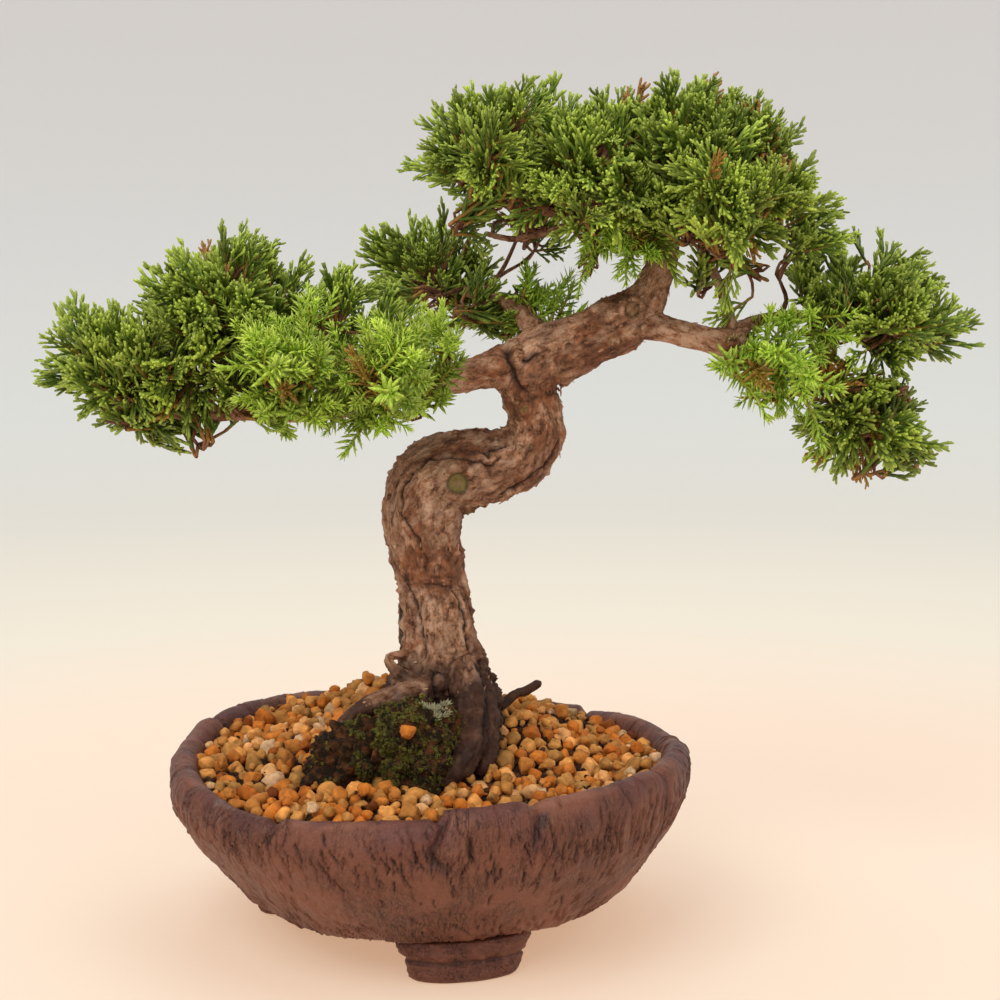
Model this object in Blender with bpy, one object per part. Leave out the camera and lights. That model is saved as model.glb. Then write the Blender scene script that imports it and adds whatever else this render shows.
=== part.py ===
"""Small juniper bonsai in a hand-pinched, three-footed clay bowl.

Everything is modelled round the pot's own axis, standing on z = 0, and is shifted at the end so that the
origin lies under the middle of the whole object. +X runs to the right pad, -Y is the front, +Z is up.
"""

import math

import bmesh
import bpy
import numpy as np
from mathutils import Vector, noise

MM = 0.001
GAP = 0.3 * MM  # clearance between pieces that touch

# Pot
POT_RADIUS = 70.0 * MM
WALL = 7.0 * MM
FOOT_HEIGHT = 10.5 * MM
RIM_HEIGHT = 47.7 * MM
RIM_WAVE = 2.9 * MM
RIM_RIPPLE = 0.6 * MM
BASE_RADIUS = 47.0 * MM
FLOOR_THICKNESS = 7.0 * MM
DRAIN_RADIUS = 7.5 * MM
FOOT_CENTRE_DEG = (-78.0, 42.0, 162.0)
FOOT_MID_RADIUS = 41.5 * MM
FOOT_HALF_DEPTH = 6.5 * MM
FOOT_HALF_ANGLE = math.radians(22.5)
SEGMENTS = 48

# Drain mesh and its clip
MESH_HOLES = 5
MESH_PITCH = 4.4 * MM
MESH_BAR = 1.2 * MM
MESH_THICKNESS = 1.0 * MM
CLIP_RADIUS = 0.7 * MM
CLIP_REACH = 12.0 * MM

# Soil, top dressing and the place where the tree stands
INNER_FLOOR = FOOT_HEIGHT + FLOOR_THICKNESS
SOIL_TOP = 38.5 * MM
PLATEAU_TOP = 44.0 * MM
PLATEAU_CENTRE = (0.0, -8.0 * MM)
PLATEAU_RADII = (31.0 * MM, 34.0 * MM)
MESH_POCKET_RADIUS = 18.0 * MM
MESH_POCKET_HEIGHT = 3.0 * MM
DRESSING_EDGE_TOP = 43.5 * MM
DRESSING_RISE = 13.0 * MM
DRESSING_PEAK = (-4.0 * MM, 24.0 * MM)
DRESSING_SPREAD = 34.0 * MM

# Wood
WOOD_VOXEL = 1.1 * MM
WOOD_KEPT = 0.09  # share of the remeshed faces that the decimation keeps
TUBE_SIDES = 12
TUBE_STEP = 1.5 * MM

# Foliage masses
LUMP_NOISE = 0.10
LUMP_STEP = 0.4 * MM
LUMP_REACH = 60.0 * MM
LUMP_CLEARANCE = 1.0 * MM
WOOD_CLEARANCE = 1.6 * MM

# Each stem is a list of (x, y, z, radius) in millimetres, from its root to its tip.
STEMS = {
    "trunk": [(6, -3, 46, 16), (6, -3, 55, 14.5), (5, -2, 64, 12.4), (3, -1, 76, 10.2), (1.4, 0, 90, 9),
              (-0.3, 0, 102, 9.6), (-0.9, 0, 111, 10.4), (2.5, 0, 118.5, 10.6), (10, 0, 122, 9.8),
              (17, 0, 123.3, 9), (24.5, 0, 126, 8.6), (29, 0, 131.5, 7.8), (29, 0, 137, 7), (27.2, 0, 142, 7),
              (26, 0, 147, 8.8), (29.5, 0, 151, 8.8), (36, 0, 154.4, 7.8), (43, 0, 157.3, 7.2),
              (50, 0, 160.6, 7.4), (55, 0, 164, 6.4), (58.5, 0, 169, 4.6), (60.7, 0, 174, 3.9),
              (62, 1, 179, 3.6), (62.5, 2, 184, 3)],
    "front_root": [(8, -7, 69, 6), (10.5, -12, 61, 6.5), (11, -17, 53, 7), (8.5, -22, 47, 6), (5.5, -26, 43.5, 4)],
    "left_front_root": [(0, -6, 64, 7), (-7, -12, 66, 4), (-13, -17, 65, 2.8), (-17, -20, 62.5, 2.2)],
    "right_root": [(11, 2, 58, 9), (19, 5, 51, 6.5), (25, 7, 46, 5)],
    "back_root": [(3, 6, 58, 9), (0, 14, 51, 6.5), (-3, 18, 46, 5)],
    "left_root": [(-4, 2, 58, 8), (-13, 4, 51, 6), (-19, 4, 46, 4.5)],
    "curled_root": [(-1, -6, 66, 3), (-6, -8, 69, 2.2), (-10.3, -8.5, 72.2, 1.9), (-10.6, -6, 74, 1.7),
                    (-5, -3, 73, 1.6)],
    "dead_stub": [(15, 1, 57.5, 2.6), (21, 4, 58.8, 1.8), (26, 5, 61.2, 1.5), (29.6, 5, 63.2, 1.4)],
    "left_limb": [(23, -3, 150, 6), (14, -6, 148, 4.4), (4, -9, 146, 3.7), (-8, -10, 143, 3), (-20, -11, 139.5, 2.7),
                  (-34, -12, 137.5, 2.4), (-48, -13, 138, 2), (-60, -13, 137, 1.6)],
    "back_limb": [(30, 4, 155, 4), (28, 10, 159, 3), (23, 17, 164.5, 2.4), (17, 23, 167, 1.8)],
    "right_limb": [(50, 0, 161, 5), (59, -3, 159.5, 3.6), (69, -5, 157, 3.1), (76, -5, 155.6, 3.7),
                   (81, -4, 156, 3.2)],
    "right_twig": [(80, -4, 157.5, 2.4), (86, 2, 161, 1.6), (96, 4, 162.5, 1.4), (106, 5, 162, 1.3)],
    "hanging_twig": [(80, -4, 155.5, 2.4), (90, 2, 151.5, 1.5), (101, 4, 147, 1.3), (108, 4, 143.4, 1.2)],
    "rising_twig": [(79, -4, 158, 2), (78, 0, 166, 1.5), (75, 2, 174, 1.3), (72, 3, 179, 1.2)],
    "crown_left_limb": [(61.5, 1, 180, 3), (53, 1, 185, 2.5), (45, 0, 187.5, 2.2), (34, 0, 189, 1.8), (22, 0, 189, 1.4)],
    "inner_twig": [(45, 0, 187, 1.8), (33, 2, 184.5, 1.5), (23, 4, 182.5, 1.2)],
}

# Each foliage mass is a list of lobes, (x, y, z, reach in x, y and z) in millimetres, round a shared middle.
FOLIAGE = {
    "pad_left_outer": ("scale_leaf", [(-81, -12, 153, 24, 26, 18), (-90, -10, 149, 15, 22, 13)]),
    "pad_left_inner": ("scale_leaf", [(-55, -8, 163, 22, 30, 20), (-50, -2, 173, 14, 22, 15)]),
    "pad_left_behind": ("scale_leaf", [(-30, 8, 161, 20, 18, 16), (-20, 10, 157, 18, 14, 11)]),
    "shoots_under_left_pad": ("scale_leaf", [(-56, -26, 134, 20, 13, 11), (-46, -27, 132, 14, 11, 9)]),
    "juvenile_needles_left": ("young_needle", [(-34, -28, 156, 17, 15, 14), (-28, -28, 153, 16, 14, 12)]),
    "juvenile_needles_right": ("young_needle", [(-4, -28, 153, 18, 15, 12), (3, -26, 150, 13, 12, 9)]),
    "hanging_needles": ("young_needle", [(-15, -25, 134, 12, 10, 8)]),
    "pad_behind_trunk": ("scale_leaf", [(-4, 33, 173, 16, 18, 15), (4, 36, 179, 15, 15, 10)]),
    "tufts_behind_trunk": ("young_needle", [(39, 19, 168, 12, 10, 6)]),
    "crown_upper_left": ("scale_leaf", [(12, -8, 207, 20, 28, 14), (17, -4, 213, 15, 24, 13)]),
    "crown_top_middle": ("scale_leaf", [(43, -2, 213, 18, 28, 13)]),
    "crown_top_right": ("scale_leaf", [(67, -2, 215, 15, 25, 12)]),
    "crown_right": ("scale_leaf", [(88, 2, 208, 15, 25, 13)]),
    "crown_right_front": ("scale_leaf", [(80, -28, 190, 24, 20, 14), (88, -26, 191, 16, 17, 11)]),
    "crown_middle_front": ("young_needle", [(48, -30, 199, 20, 17, 13)]),
    "crown_back": ("scale_leaf", [(50, 32, 200, 36, 18, 15)]),
    "needles_under_crown": ("young_needle", [(49, -13, 181, 12, 8, 5.5)]),
    "pad_right_upper": ("scale_leaf", [(106, 0, 178, 20, 24, 12)]),
    "pad_right_tip": ("scale_leaf", [(130, 0, 162, 18, 23, 17)]),
    "needles_on_right_limb": ("young_needle", [(92, -16, 152, 13, 12, 12)]),
    "pad_lower_right": ("scale_leaf", [(117, 0, 129, 20, 21, 15)]),
}
MOSS_LOBES = [(-9, -28, 55, 17, 13, 9), (-4, -29, 53, 14, 11, 8)]

MATERIALS = {
    "clay": ((0.120, 0.065, 0.062), 0.78, 0.0),
    "mesh_plastic": ((0.030, 0.032, 0.030), 0.60, 0.0),
    "clip_wire": ((0.450, 0.300, 0.200), 0.40, 1.0),
    "soil": ((0.045, 0.028, 0.018), 0.95, 0.0),
    "grain": ((0.560, 0.250, 0.070), 0.90, 0.0),
    "moss": ((0.050, 0.060, 0.015), 0.95, 0.0),
    "bark": ((0.220, 0.110, 0.075), 0.85, 0.0),
    "scale_leaf": ((0.090, 0.210, 0.030), 0.60, 0.0),
    "young_needle": ((0.200, 0.360, 0.060), 0.60, 0.0),
}


def clear_scene():
    """Removes what a new Blender file starts with."""
    for thing in list(bpy.data.objects):
        bpy.data.objects.remove(thing, do_unlink=True)


def make_material(name):
    """One Principled material with the piece's colour, roughness and metallic value."""
    colour, roughness, metallic = MATERIALS[name]
    material = bpy.data.materials.new(name)
    material.use_nodes = True
    shader = material.node_tree.nodes["Principled BSDF"]
    shader.inputs["Base Color"].default_value = (*colour, 1.0)
    shader.inputs["Roughness"].default_value = roughness
    shader.inputs["Metallic"].default_value = metallic
    return material


def add_object(name, mesh, material, smooth=True):
    """Wraps a mesh in a named object with its own copy of a material."""
    thing = bpy.data.objects.new(name, mesh)
    bpy.context.collection.objects.link(thing)
    own = make_material(material)
    own.name = f"{material}_{name}"
    mesh.materials.append(own)
    if smooth:
        mesh.shade_smooth()
        mesh.set_sharp_from_angle(angle=math.radians(50))
    return thing


def mesh_of(name, points, faces):
    """A mesh from points and faces, with its normals turned outwards."""
    mesh = bpy.data.meshes.new(name)
    mesh.from_pydata([tuple(point) for point in points], [], faces)
    turned = bmesh.new()
    turned.from_mesh(mesh)
    bmesh.ops.recalc_face_normals(turned, faces=turned.faces)
    turned.to_mesh(mesh)
    turned.free()
    return mesh


def ring_stack(name, rings, closed=False):
    """Joins rings of equally many points into a skin: an endless one, or one with a flat cap at each end."""
    count = len(rings[0])
    points = [point for ring in rings for point in ring]
    faces = []
    for level in range(len(rings) if closed else len(rings) - 1):
        low = level * count
        high = ((level + 1) % len(rings)) * count
        for i in range(count):
            after = (i + 1) % count
            faces.append((low + i, low + after, high + after, high + i))
    if not closed:
        faces.append(tuple(range(count)))
        faces.append(tuple(range((len(rings) - 1) * count, len(rings) * count)))
    return mesh_of(name, points, faces)


def circle(radius, height, centre=(0.0, 0.0), radius_y=None, segments=SEGMENTS):
    """A level ring of points, round or elliptical."""
    across = radius if radius_y is None else radius_y
    angles = [2 * math.pi * i / segments for i in range(segments)]
    return [(centre[0] + radius * math.cos(a), centre[1] + across * math.sin(a), height) for a in angles]


def rim_lift(angle):
    """How far the hand-made rim rises above or falls below its mean height at this angle."""
    slow = RIM_WAVE * math.cos(2 * (angle - math.radians(140)))
    return slow + RIM_RIPPLE * math.cos(5 * angle + 0.6)


def bowl():
    """The pinched bowl: an endless skin from the drain hole's lower edge, over the rim and back."""
    # radius, height, and how much of the rim's wave the point follows
    profile = [
        (DRAIN_RADIUS, FOOT_HEIGHT, 0.0),
        (BASE_RADIUS, FOOT_HEIGHT, 0.0),
        (POT_RADIUS - 13.5 * MM, FOOT_HEIGHT + 5.5 * MM, 0.0),
        (POT_RADIUS - 7.0 * MM, FOOT_HEIGHT + 14.0 * MM, 0.1),
        (POT_RADIUS - 2.2 * MM, FOOT_HEIGHT + 23.0 * MM, 0.3),
        (POT_RADIUS, FOOT_HEIGHT + 30.5 * MM, 0.6),
        (POT_RADIUS - 0.9 * MM, RIM_HEIGHT - 2.0 * MM, 0.9),
        (POT_RADIUS - 3.2 * MM, RIM_HEIGHT, 1.0),
        (POT_RADIUS - 5.8 * MM, RIM_HEIGHT - 0.6 * MM, 1.0),
        (POT_RADIUS - WALL - 0.6 * MM, RIM_HEIGHT - 3.5 * MM, 0.8),
        (POT_RADIUS - WALL - 1.6 * MM, SOIL_TOP, 0.0),
        (POT_RADIUS - WALL - 7.0 * MM, INNER_FLOOR + 8.5 * MM, 0.0),
        (BASE_RADIUS, INNER_FLOOR, 0.0),
        (DRAIN_RADIUS, INNER_FLOOR, 0.0),
    ]
    rings = []
    for radius, height, share in profile:
        ring = circle(radius, height)
        lifts = [share * rim_lift(2 * math.pi * i / SEGMENTS) for i in range(SEGMENTS)]
        rings.append([(x, y, z + lift) for (x, y, z), lift in zip(ring, lifts)])
    return add_object("pot_bowl", ring_stack("pot_bowl", rings, closed=True), "clay")


def signed_power(value, power):
    """A power that keeps the sign, for outlines with soft corners."""
    return math.copysign(abs(value) ** power, value)


def foot(name, centre_angle):
    """A crescent foot pressed from two layers of clay, wider at the top, with a crease between the layers."""
    # height, then how far the outline is drawn in along the arc and across it
    levels = [
        (0.0, 0.66, 0.74), (1.2 * MM, 0.72, 0.84), (4.4 * MM, 0.80, 0.92), (5.2 * MM, 0.80, 0.84),
        (6.0 * MM, 0.90, 0.96), (9.0 * MM, 1.0, 1.0), (FOOT_HEIGHT - GAP, 0.96, 0.92),
    ]
    rings = []
    for height, along, across in levels:
        ring = []
        for i in range(24):
            turn = 2 * math.pi * i / 24
            angle = centre_angle + along * FOOT_HALF_ANGLE * signed_power(math.cos(turn), 0.7)
            radius = FOOT_MID_RADIUS + across * FOOT_HALF_DEPTH * signed_power(math.sin(turn), 0.7)
            ring.append((radius * math.cos(angle), radius * math.sin(angle), height))
        rings.append(ring)
    return add_object(name, ring_stack(name, rings), "clay")


def drain_mesh():
    """A square of plastic mesh that keeps the soil above the drain hole."""
    lines = []
    for i in range(MESH_HOLES + 1):
        start = (i - (MESH_HOLES + 1) / 2 + 0.5) * MESH_PITCH - MESH_BAR / 2
        lines += [start, start + MESH_BAR]
    cells = len(lines) - 1
    solid = {(i, j) for i in range(cells) for j in range(cells) if i % 2 == 0 or j % 2 == 0}
    low = INNER_FLOOR + GAP
    side = len(lines)
    points = [(x, y, z) for z in (low, low + MESH_THICKNESS) for x in lines for y in lines]

    def corner(i, j, layer):
        return layer * side * side + i * side + j

    faces = []
    for i, j in sorted(solid):
        square = [(i, j), (i + 1, j), (i + 1, j + 1), (i, j + 1)]
        faces.append(tuple(corner(a, b, 1) for a, b in square))
        faces.append(tuple(corner(a, b, 0) for a, b in reversed(square)))
        steps = [(0, -1), (1, 0), (0, 1), (-1, 0)]
        for k, (di, dj) in enumerate(steps):
            if (i + di, j + dj) not in solid:
                a, b = square[k], square[(k + 1) % 4]
                faces.append((corner(*a, 0), corner(*b, 0), corner(*b, 1), corner(*a, 1)))
    return add_object("drain_mesh", mesh_of("drain_mesh", points, faces), "mesh_plastic", smooth=False)


def clip_wire():
    """The wire that holds the mesh: over it, down through two of its holes, and bent outwards below the floor."""
    leg = MESH_PITCH
    high = INNER_FLOOR + GAP + MESH_THICKNESS + GAP + CLIP_RADIUS
    low = FOOT_HEIGHT - GAP - CLIP_RADIUS
    bend = CLIP_RADIUS
    half = [(0.0, high), (leg - bend, high), (leg, high - bend), (leg, low + bend), (leg + bend, low), (CLIP_REACH, low)]
    route = [(-x, z) for x, z in reversed(half[1:])] + half
    curve = bpy.data.curves.new("mesh_clip", "CURVE")
    curve.dimensions = "3D"
    curve.bevel_depth = CLIP_RADIUS
    curve.bevel_resolution = 2
    curve.use_fill_caps = True
    spline = curve.splines.new("POLY")
    spline.points.add(len(route) - 1)
    for point, (x, z) in zip(spline.points, route):
        point.co = (x, 0.0, z, 1.0)
    clip = bpy.data.objects.new("mesh_clip", curve)
    bpy.context.collection.objects.link(clip)
    curve.materials.append(make_material("clip_wire"))
    return clip


def root_ball():
    """The soil: it fills the bowl up to the dressing and rises in the middle to carry the tree."""
    wall = [
        (BASE_RADIUS - 1.0 * MM, INNER_FLOOR + GAP),
        (POT_RADIUS - WALL - 8.0 * MM, INNER_FLOOR + 8.5 * MM),
        (POT_RADIUS - WALL - 2.6 * MM, SOIL_TOP - GAP),
    ]
    plateau = [radius - 2 * GAP for radius in PLATEAU_RADII]
    rings = [
        circle(MESH_POCKET_RADIUS, INNER_FLOOR + MESH_POCKET_HEIGHT),
        circle(MESH_POCKET_RADIUS, INNER_FLOOR + GAP),
        *[circle(radius, height) for radius, height in wall],
        circle(plateau[0], SOIL_TOP - GAP, PLATEAU_CENTRE, plateau[1]),
        circle(plateau[0], PLATEAU_TOP - 1.0 * MM, PLATEAU_CENTRE, plateau[1]),
        circle(plateau[0] - 1.0 * MM, PLATEAU_TOP, PLATEAU_CENTRE, plateau[1] - 1.0 * MM),
    ]
    return add_object("root_ball_soil", ring_stack("root_ball_soil", rings), "soil")


def dressing_height(x, y):
    """Height of the grains' surface: level at the rim, heaped up behind the trunk."""
    away = math.hypot(x - DRESSING_PEAK[0], y - DRESSING_PEAK[1]) / DRESSING_SPREAD
    bumps = noise.noise(Vector((x, y, 0.0)) * 160) * 0.8 * MM
    return DRESSING_EDGE_TOP + DRESSING_RISE * math.exp(-away * away) + bumps


def dressing():
    """The layer of loose grains, with an opening where the tree and the moss stand."""
    inner = circle(PLATEAU_RADII[0], 0.0, PLATEAU_CENTRE, PLATEAU_RADII[1])
    edge_low = circle(POT_RADIUS - WALL - 2.6 * MM, 0.0)
    edge_high = circle(POT_RADIUS - WALL - 2.0 * MM, 0.0)
    steps = 5
    rings = [[(x, y, SOIL_TOP) for x, y, _ in inner], [(x, y, SOIL_TOP) for x, y, _ in edge_low]]
    for k in range(steps + 1):
        share = k / steps
        ring = []
        for (ox, oy, _), (ix, iy, _) in zip(edge_high, inner):
            x = ox + (ix - ox) * share
            y = oy + (iy - oy) * share
            ring.append((x, y, dressing_height(x, y)))
        rings.append(ring)
    return add_object("grain_dressing", ring_stack("grain_dressing", rings, closed=True), "grain")


def smooth_path(stem, step):
    """Points and radii along a Catmull-Rom curve through a stem's own points."""
    knots = [np.array(p, float) * MM for p in stem]
    knots = [2 * knots[0] - knots[1], *knots, 2 * knots[-1] - knots[-2]]
    path = []
    for a, b, c, d in zip(knots, knots[1:], knots[2:], knots[3:]):
        count = max(1, round(float(np.linalg.norm((c - b)[:3])) / step))
        for t in np.arange(count) / count:
            path.append(0.5 * (2 * b + (c - a) * t + (2 * a - 5 * b + 4 * c - d) * t**2
                               + (3 * b - a - 3 * c + d) * t**3))
    path.append(knots[-2])
    return path


def tube(points, faces, path):
    """Adds a closed round tube along a path of (x, y, z, radius) to the points and faces."""
    start = len(points)
    side = Vector((0.0, 1.0, 0.0))
    for k, here in enumerate(path):
        before = path[max(k - 1, 0)]
        after = path[min(k + 1, len(path) - 1)]
        along = Vector(after[:3] - before[:3]).normalized()
        side = (side - along * side.dot(along)).normalized()
        other = along.cross(side)
        for i in range(TUBE_SIDES):
            turn = 2 * math.pi * i / TUBE_SIDES
            offset = (side * math.cos(turn) + other * math.sin(turn)) * float(here[3])
            points.append(Vector(here[:3]) + offset)
    rings = len(path)
    for k in range(rings - 1):
        for i in range(TUBE_SIDES):
            after = (i + 1) % TUBE_SIDES
            low = start + k * TUBE_SIDES
            faces.append((low + i, low + after, low + TUBE_SIDES + after, low + TUBE_SIDES + i))
    faces.append(tuple(start + i for i in reversed(range(TUBE_SIDES))))
    faces.append(tuple(start + (rings - 1) * TUBE_SIDES + i for i in range(TUBE_SIDES)))


def wood():
    """Roots, trunk and limbs as one grown piece, cut level where it stands on the soil."""
    points, faces = [], []
    for stem in STEMS.values():
        tube(points, faces, smooth_path(stem, TUBE_STEP))
    tree = add_object("trunk_roots_and_limbs", mesh_of("trunk_roots_and_limbs", points, faces), "bark")
    remesh = tree.modifiers.new("one_skin", "REMESH")
    remesh.mode = "VOXEL"
    remesh.voxel_size = WOOD_VOXEL
    remesh.use_smooth_shade = True

    bpy.ops.mesh.primitive_cube_add(size=1.0)
    block = bpy.context.object
    block.name = "level_cutter"
    block.scale = (0.2, 0.2, 0.05)
    block.location = (0.0, 0.0, PLATEAU_TOP + GAP - 0.025)
    block.hide_render = True
    block.display_type = "WIRE"
    level = tree.modifiers.new("level_base", "BOOLEAN")
    level.operation = "DIFFERENCE"
    level.solver = "EXACT"
    level.object = block

    fewer = tree.modifiers.new("fewer_faces", "DECIMATE")
    fewer.ratio = WOOD_KEPT
    return tree


def wood_distance(points):
    """Distance from each point to the skin of the wood, negative inside it."""
    nearest = np.full(len(points), np.inf)
    for stem in STEMS.values():
        path = np.array(smooth_path(stem, 2 * TUBE_STEP))
        for a, b in zip(path, path[1:]):
            run = b[:3] - a[:3]
            share = np.clip((points - a[:3]) @ run / (run @ run), 0.0, 1.0)
            gap = np.linalg.norm(points - a[:3] - share[:, None] * run, axis=1)
            nearest = np.minimum(nearest, gap - a[3] - share * (b[3] - a[3]))
    return nearest


def lobe_field(points, lobes):
    """Roughly the distance from each point to the skin round some lobes, negative inside them."""
    nearest = np.full(len(points), np.inf)
    for lobe in lobes:
        centre = np.array(lobe[:3]) * MM
        reach = np.array(lobe[3:]) * MM
        away = np.linalg.norm((points - centre) / reach, axis=1)
        nearest = np.minimum(nearest, (away - 1.0) * reach.min())
    return nearest


def lump(name, lobes, neighbours, material, floor=-1.0):
    """A lumpy closed mass that fills its lobes as far as its neighbours and the wood leave room."""
    shape = bmesh.new()
    bmesh.ops.create_icosphere(shape, subdivisions=3, radius=1.0)
    directions = np.array([tuple(v.co.normalized()) for v in shape.verts])
    middle = np.mean([lobe[:3] for lobe in lobes], axis=0) * MM
    swell = np.array([noise.noise(Vector(d) * 2.6 + Vector(middle) * 90) for d in directions])
    open_way = np.ones(len(directions), bool)
    reach = np.zeros(len(directions))
    for distance in np.arange(LUMP_STEP, LUMP_REACH, LUMP_STEP):
        at = middle + directions * distance
        own = lobe_field(middle + directions * (distance / (1 + LUMP_NOISE * swell))[:, None], lobes)
        free = (own < 0) & (at[:, 2] > floor) & (wood_distance(at) > WOOD_CLEARANCE)
        for others in neighbours:
            free &= lobe_field(at, lobes) < lobe_field(at, others) - LUMP_CLEARANCE
        open_way &= free
        reach = np.where(open_way, distance, reach)
        if not open_way.any():
            break
    for vertex, direction, distance in zip(shape.verts, directions, reach):
        vertex.co = middle + direction * distance
    mesh = bpy.data.meshes.new(name)
    shape.to_mesh(mesh)
    shape.free()
    return add_object(name, mesh, material)


def foliage():
    """Every foliage mass, each kept clear of the others."""
    for name, (material, lobes) in FOLIAGE.items():
        others = [other for key, (_, other) in FOLIAGE.items() if key != name]
        lump(name, lobes, others, material)


def centre_on_floor():
    """Shifts everything so that the origin is under the middle of the object's box."""
    bpy.context.view_layer.update()
    graph = bpy.context.evaluated_depsgraph_get()
    corners = []
    for thing in bpy.data.objects:
        if thing.type in {"MESH", "CURVE"} and not thing.hide_render:
            shown = thing.evaluated_get(graph)
            mesh = shown.to_mesh()
            corners += [shown.matrix_world @ vertex.co for vertex in mesh.vertices]
            shown.to_mesh_clear()
    low = Vector(min(corner[i] for corner in corners) for i in range(3))
    high = Vector(max(corner[i] for corner in corners) for i in range(3))
    frame = bpy.data.objects.new("pot_axis", None)
    bpy.context.collection.objects.link(frame)
    for thing in list(bpy.data.objects):
        if thing is not frame:
            thing.parent = frame
    frame.location = (-(low.x + high.x) / 2, -(low.y + high.y) / 2, -low.z)


def main():
    clear_scene()
    bowl()
    for name, degrees in zip(("foot_front", "foot_right_back", "foot_left_back"), FOOT_CENTRE_DEG):
        foot(name, math.radians(degrees))
    drain_mesh()
    clip_wire()
    root_ball()
    dressing()
    wood()
    lump("moss_mound", MOSS_LOBES, [], "moss", floor=PLATEAU_TOP + 2 * GAP)
    foliage()
    centre_on_floor()


main()
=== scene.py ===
import math
from itertools import product

import bpy
import numpy as np
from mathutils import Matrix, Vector
from bpy.props import FloatProperty, FloatVectorProperty, IntProperty, PointerProperty


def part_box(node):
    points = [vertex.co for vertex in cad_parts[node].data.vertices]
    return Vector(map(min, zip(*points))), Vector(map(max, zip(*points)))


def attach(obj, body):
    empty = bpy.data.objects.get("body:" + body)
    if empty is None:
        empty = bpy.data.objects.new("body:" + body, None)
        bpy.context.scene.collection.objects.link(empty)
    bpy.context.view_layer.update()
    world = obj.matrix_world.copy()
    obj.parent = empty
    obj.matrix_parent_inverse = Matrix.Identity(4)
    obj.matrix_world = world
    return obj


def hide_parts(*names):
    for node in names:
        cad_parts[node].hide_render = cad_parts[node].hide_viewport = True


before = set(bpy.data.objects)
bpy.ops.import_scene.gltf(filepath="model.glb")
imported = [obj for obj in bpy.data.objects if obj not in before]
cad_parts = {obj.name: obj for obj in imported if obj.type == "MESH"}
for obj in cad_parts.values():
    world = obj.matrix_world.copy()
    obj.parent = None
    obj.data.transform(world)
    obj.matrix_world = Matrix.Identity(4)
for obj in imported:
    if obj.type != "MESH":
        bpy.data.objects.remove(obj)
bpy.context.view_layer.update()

bl_info = {
    "name": "Juniper bonsai in a pinched pot",
    "version": (1, 0, 0),
    "blender": (4, 5, 0),
    "location": "View3D > Sidebar > Bonsai",
    "description": "Dresses the packed bonsai with bark, foliage, grains, moss and clay",
    "category": "Object",
}

# Shapes below are worked out in millimetres from the pot's axis and the surface that it stands on.
MM = 0.001
MESH_LOW, MESH_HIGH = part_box("drain_mesh")
BOWL_LOW, BOWL_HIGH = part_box("pot_bowl")
POT_AXIS = np.array([(MESH_LOW.x + MESH_HIGH.x) / 2, (MESH_LOW.y + MESH_HIGH.y) / 2, 0.0])
BODY = "root"

# Bowl: radius, height, how much of the rim's wave is followed, and how strongly the clay is worked there.
BOWL_PROFILE = [
    (7.5, 10.5, 0.0, 0.0), (30.0, 10.5, 0.0, 0.2), (47.0, 10.6, 0.0, 0.6), (54.9, 16.0, 0.0, 1.0),
    (62.1, 24.5, 0.1, 1.0), (67.8, 33.5, 0.3, 1.0), (70.0, 41.0, 0.6, 1.0), (69.3, 45.7, 0.9, 0.9),
    (66.8, 47.7, 1.0, 0.6), (64.2, 47.1, 1.0, 0.6), (62.4, 44.2, 0.8, 0.7), (61.4, 38.5, 0.0, 0.4),
    (56.0, 26.0, 0.0, 0.0), (47.0, 17.5, 0.0, 0.0), (7.5, 17.5, 0.0, 0.0),
]
BOWL_RADIUS = 70.0
BOWL_ROWS = 100
BOWL_COLUMNS = 940
RIM_WAVE = 2.9
RIM_RIPPLE = 0.6
# Overlaps in the rim: angle in degrees, half width in degrees, depth, step up past it, reach down the wall.
RIM_FOLDS = [
    (-86.0, 1.0, 2.0, 1.3, 13.0), (-66.0, 1.6, 1.0, -0.5, 9.0), (160.0, 1.4, 1.8, 1.0, 11.0),
    (-121.0, 1.2, 0.8, 0.5, 7.0), (-30.0, 1.4, 0.9, -0.6, 8.0), (48.0, 1.2, 1.4, 0.8, 10.0),
    (98.0, 1.6, 1.0, 0.6, 9.0),
]
# Where a hand bent the rim: angle in degrees, half width in degrees, rise.
RIM_HANDS = [(30, 14, 2.2), (128, 22, -1.2)]
# Colours of the drain mesh and of its wire.
MESH_DARK, MESH_LIGHT = (0.018, 0.020, 0.018), (0.045, 0.047, 0.042)
WIRE_DARK, WIRE_LIGHT = (0.30, 0.17, 0.10), (0.58, 0.38, 0.25)
FEET = {"foot_front": -76.0, "foot_right_back": 42.0, "foot_left_back": 162.0}
# Foot: height, then how far the outline is drawn in along the arc and across it.
FOOT_LEVELS = [
    (0.0, 0.76, 0.92), (0.6, 0.82, 1.04), (2.4, 0.86, 1.10), (4.2, 0.88, 1.06), (4.9, 0.87, 0.98),
    (5.3, 0.86, 0.94), (5.8, 0.93, 1.0), (7.4, 1.0, 1.03), (9.2, 1.03, 1.0), (10.2, 1.0, 0.94),
]
FOOT_RADIUS = 41.5
FOOT_HALF_DEPTH = 6.5
FOOT_HALF_ANGLE = math.radians(22.5)
FOOT_ROWS = 30
FOOT_COLUMNS = 220
FOOT_CREASE = 5.2

DRESSING_EDGE = 43.4
# Heaps in the dressing: x, y, rise, spread.
DRESSING_HEAPS = [
    (-6, 26, 13.0, 26), (24, 4, 7.0, 20), (-30, -6, 6.0, 18), (4, 8, 6.0, 18), (-10, -42, 3.2, 15),
    (-38, 36, 4.6, 20), (30, 42, 3.0, 18), (-56, 4, 2.0, 14), (-14, 32, 3.0, 15),
]
BARE_SPOTS = [(-50, -22, 8), (38, 34, 9), (-36, 42, 7)]  # x, y, radius: soil shows between the grains
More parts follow.
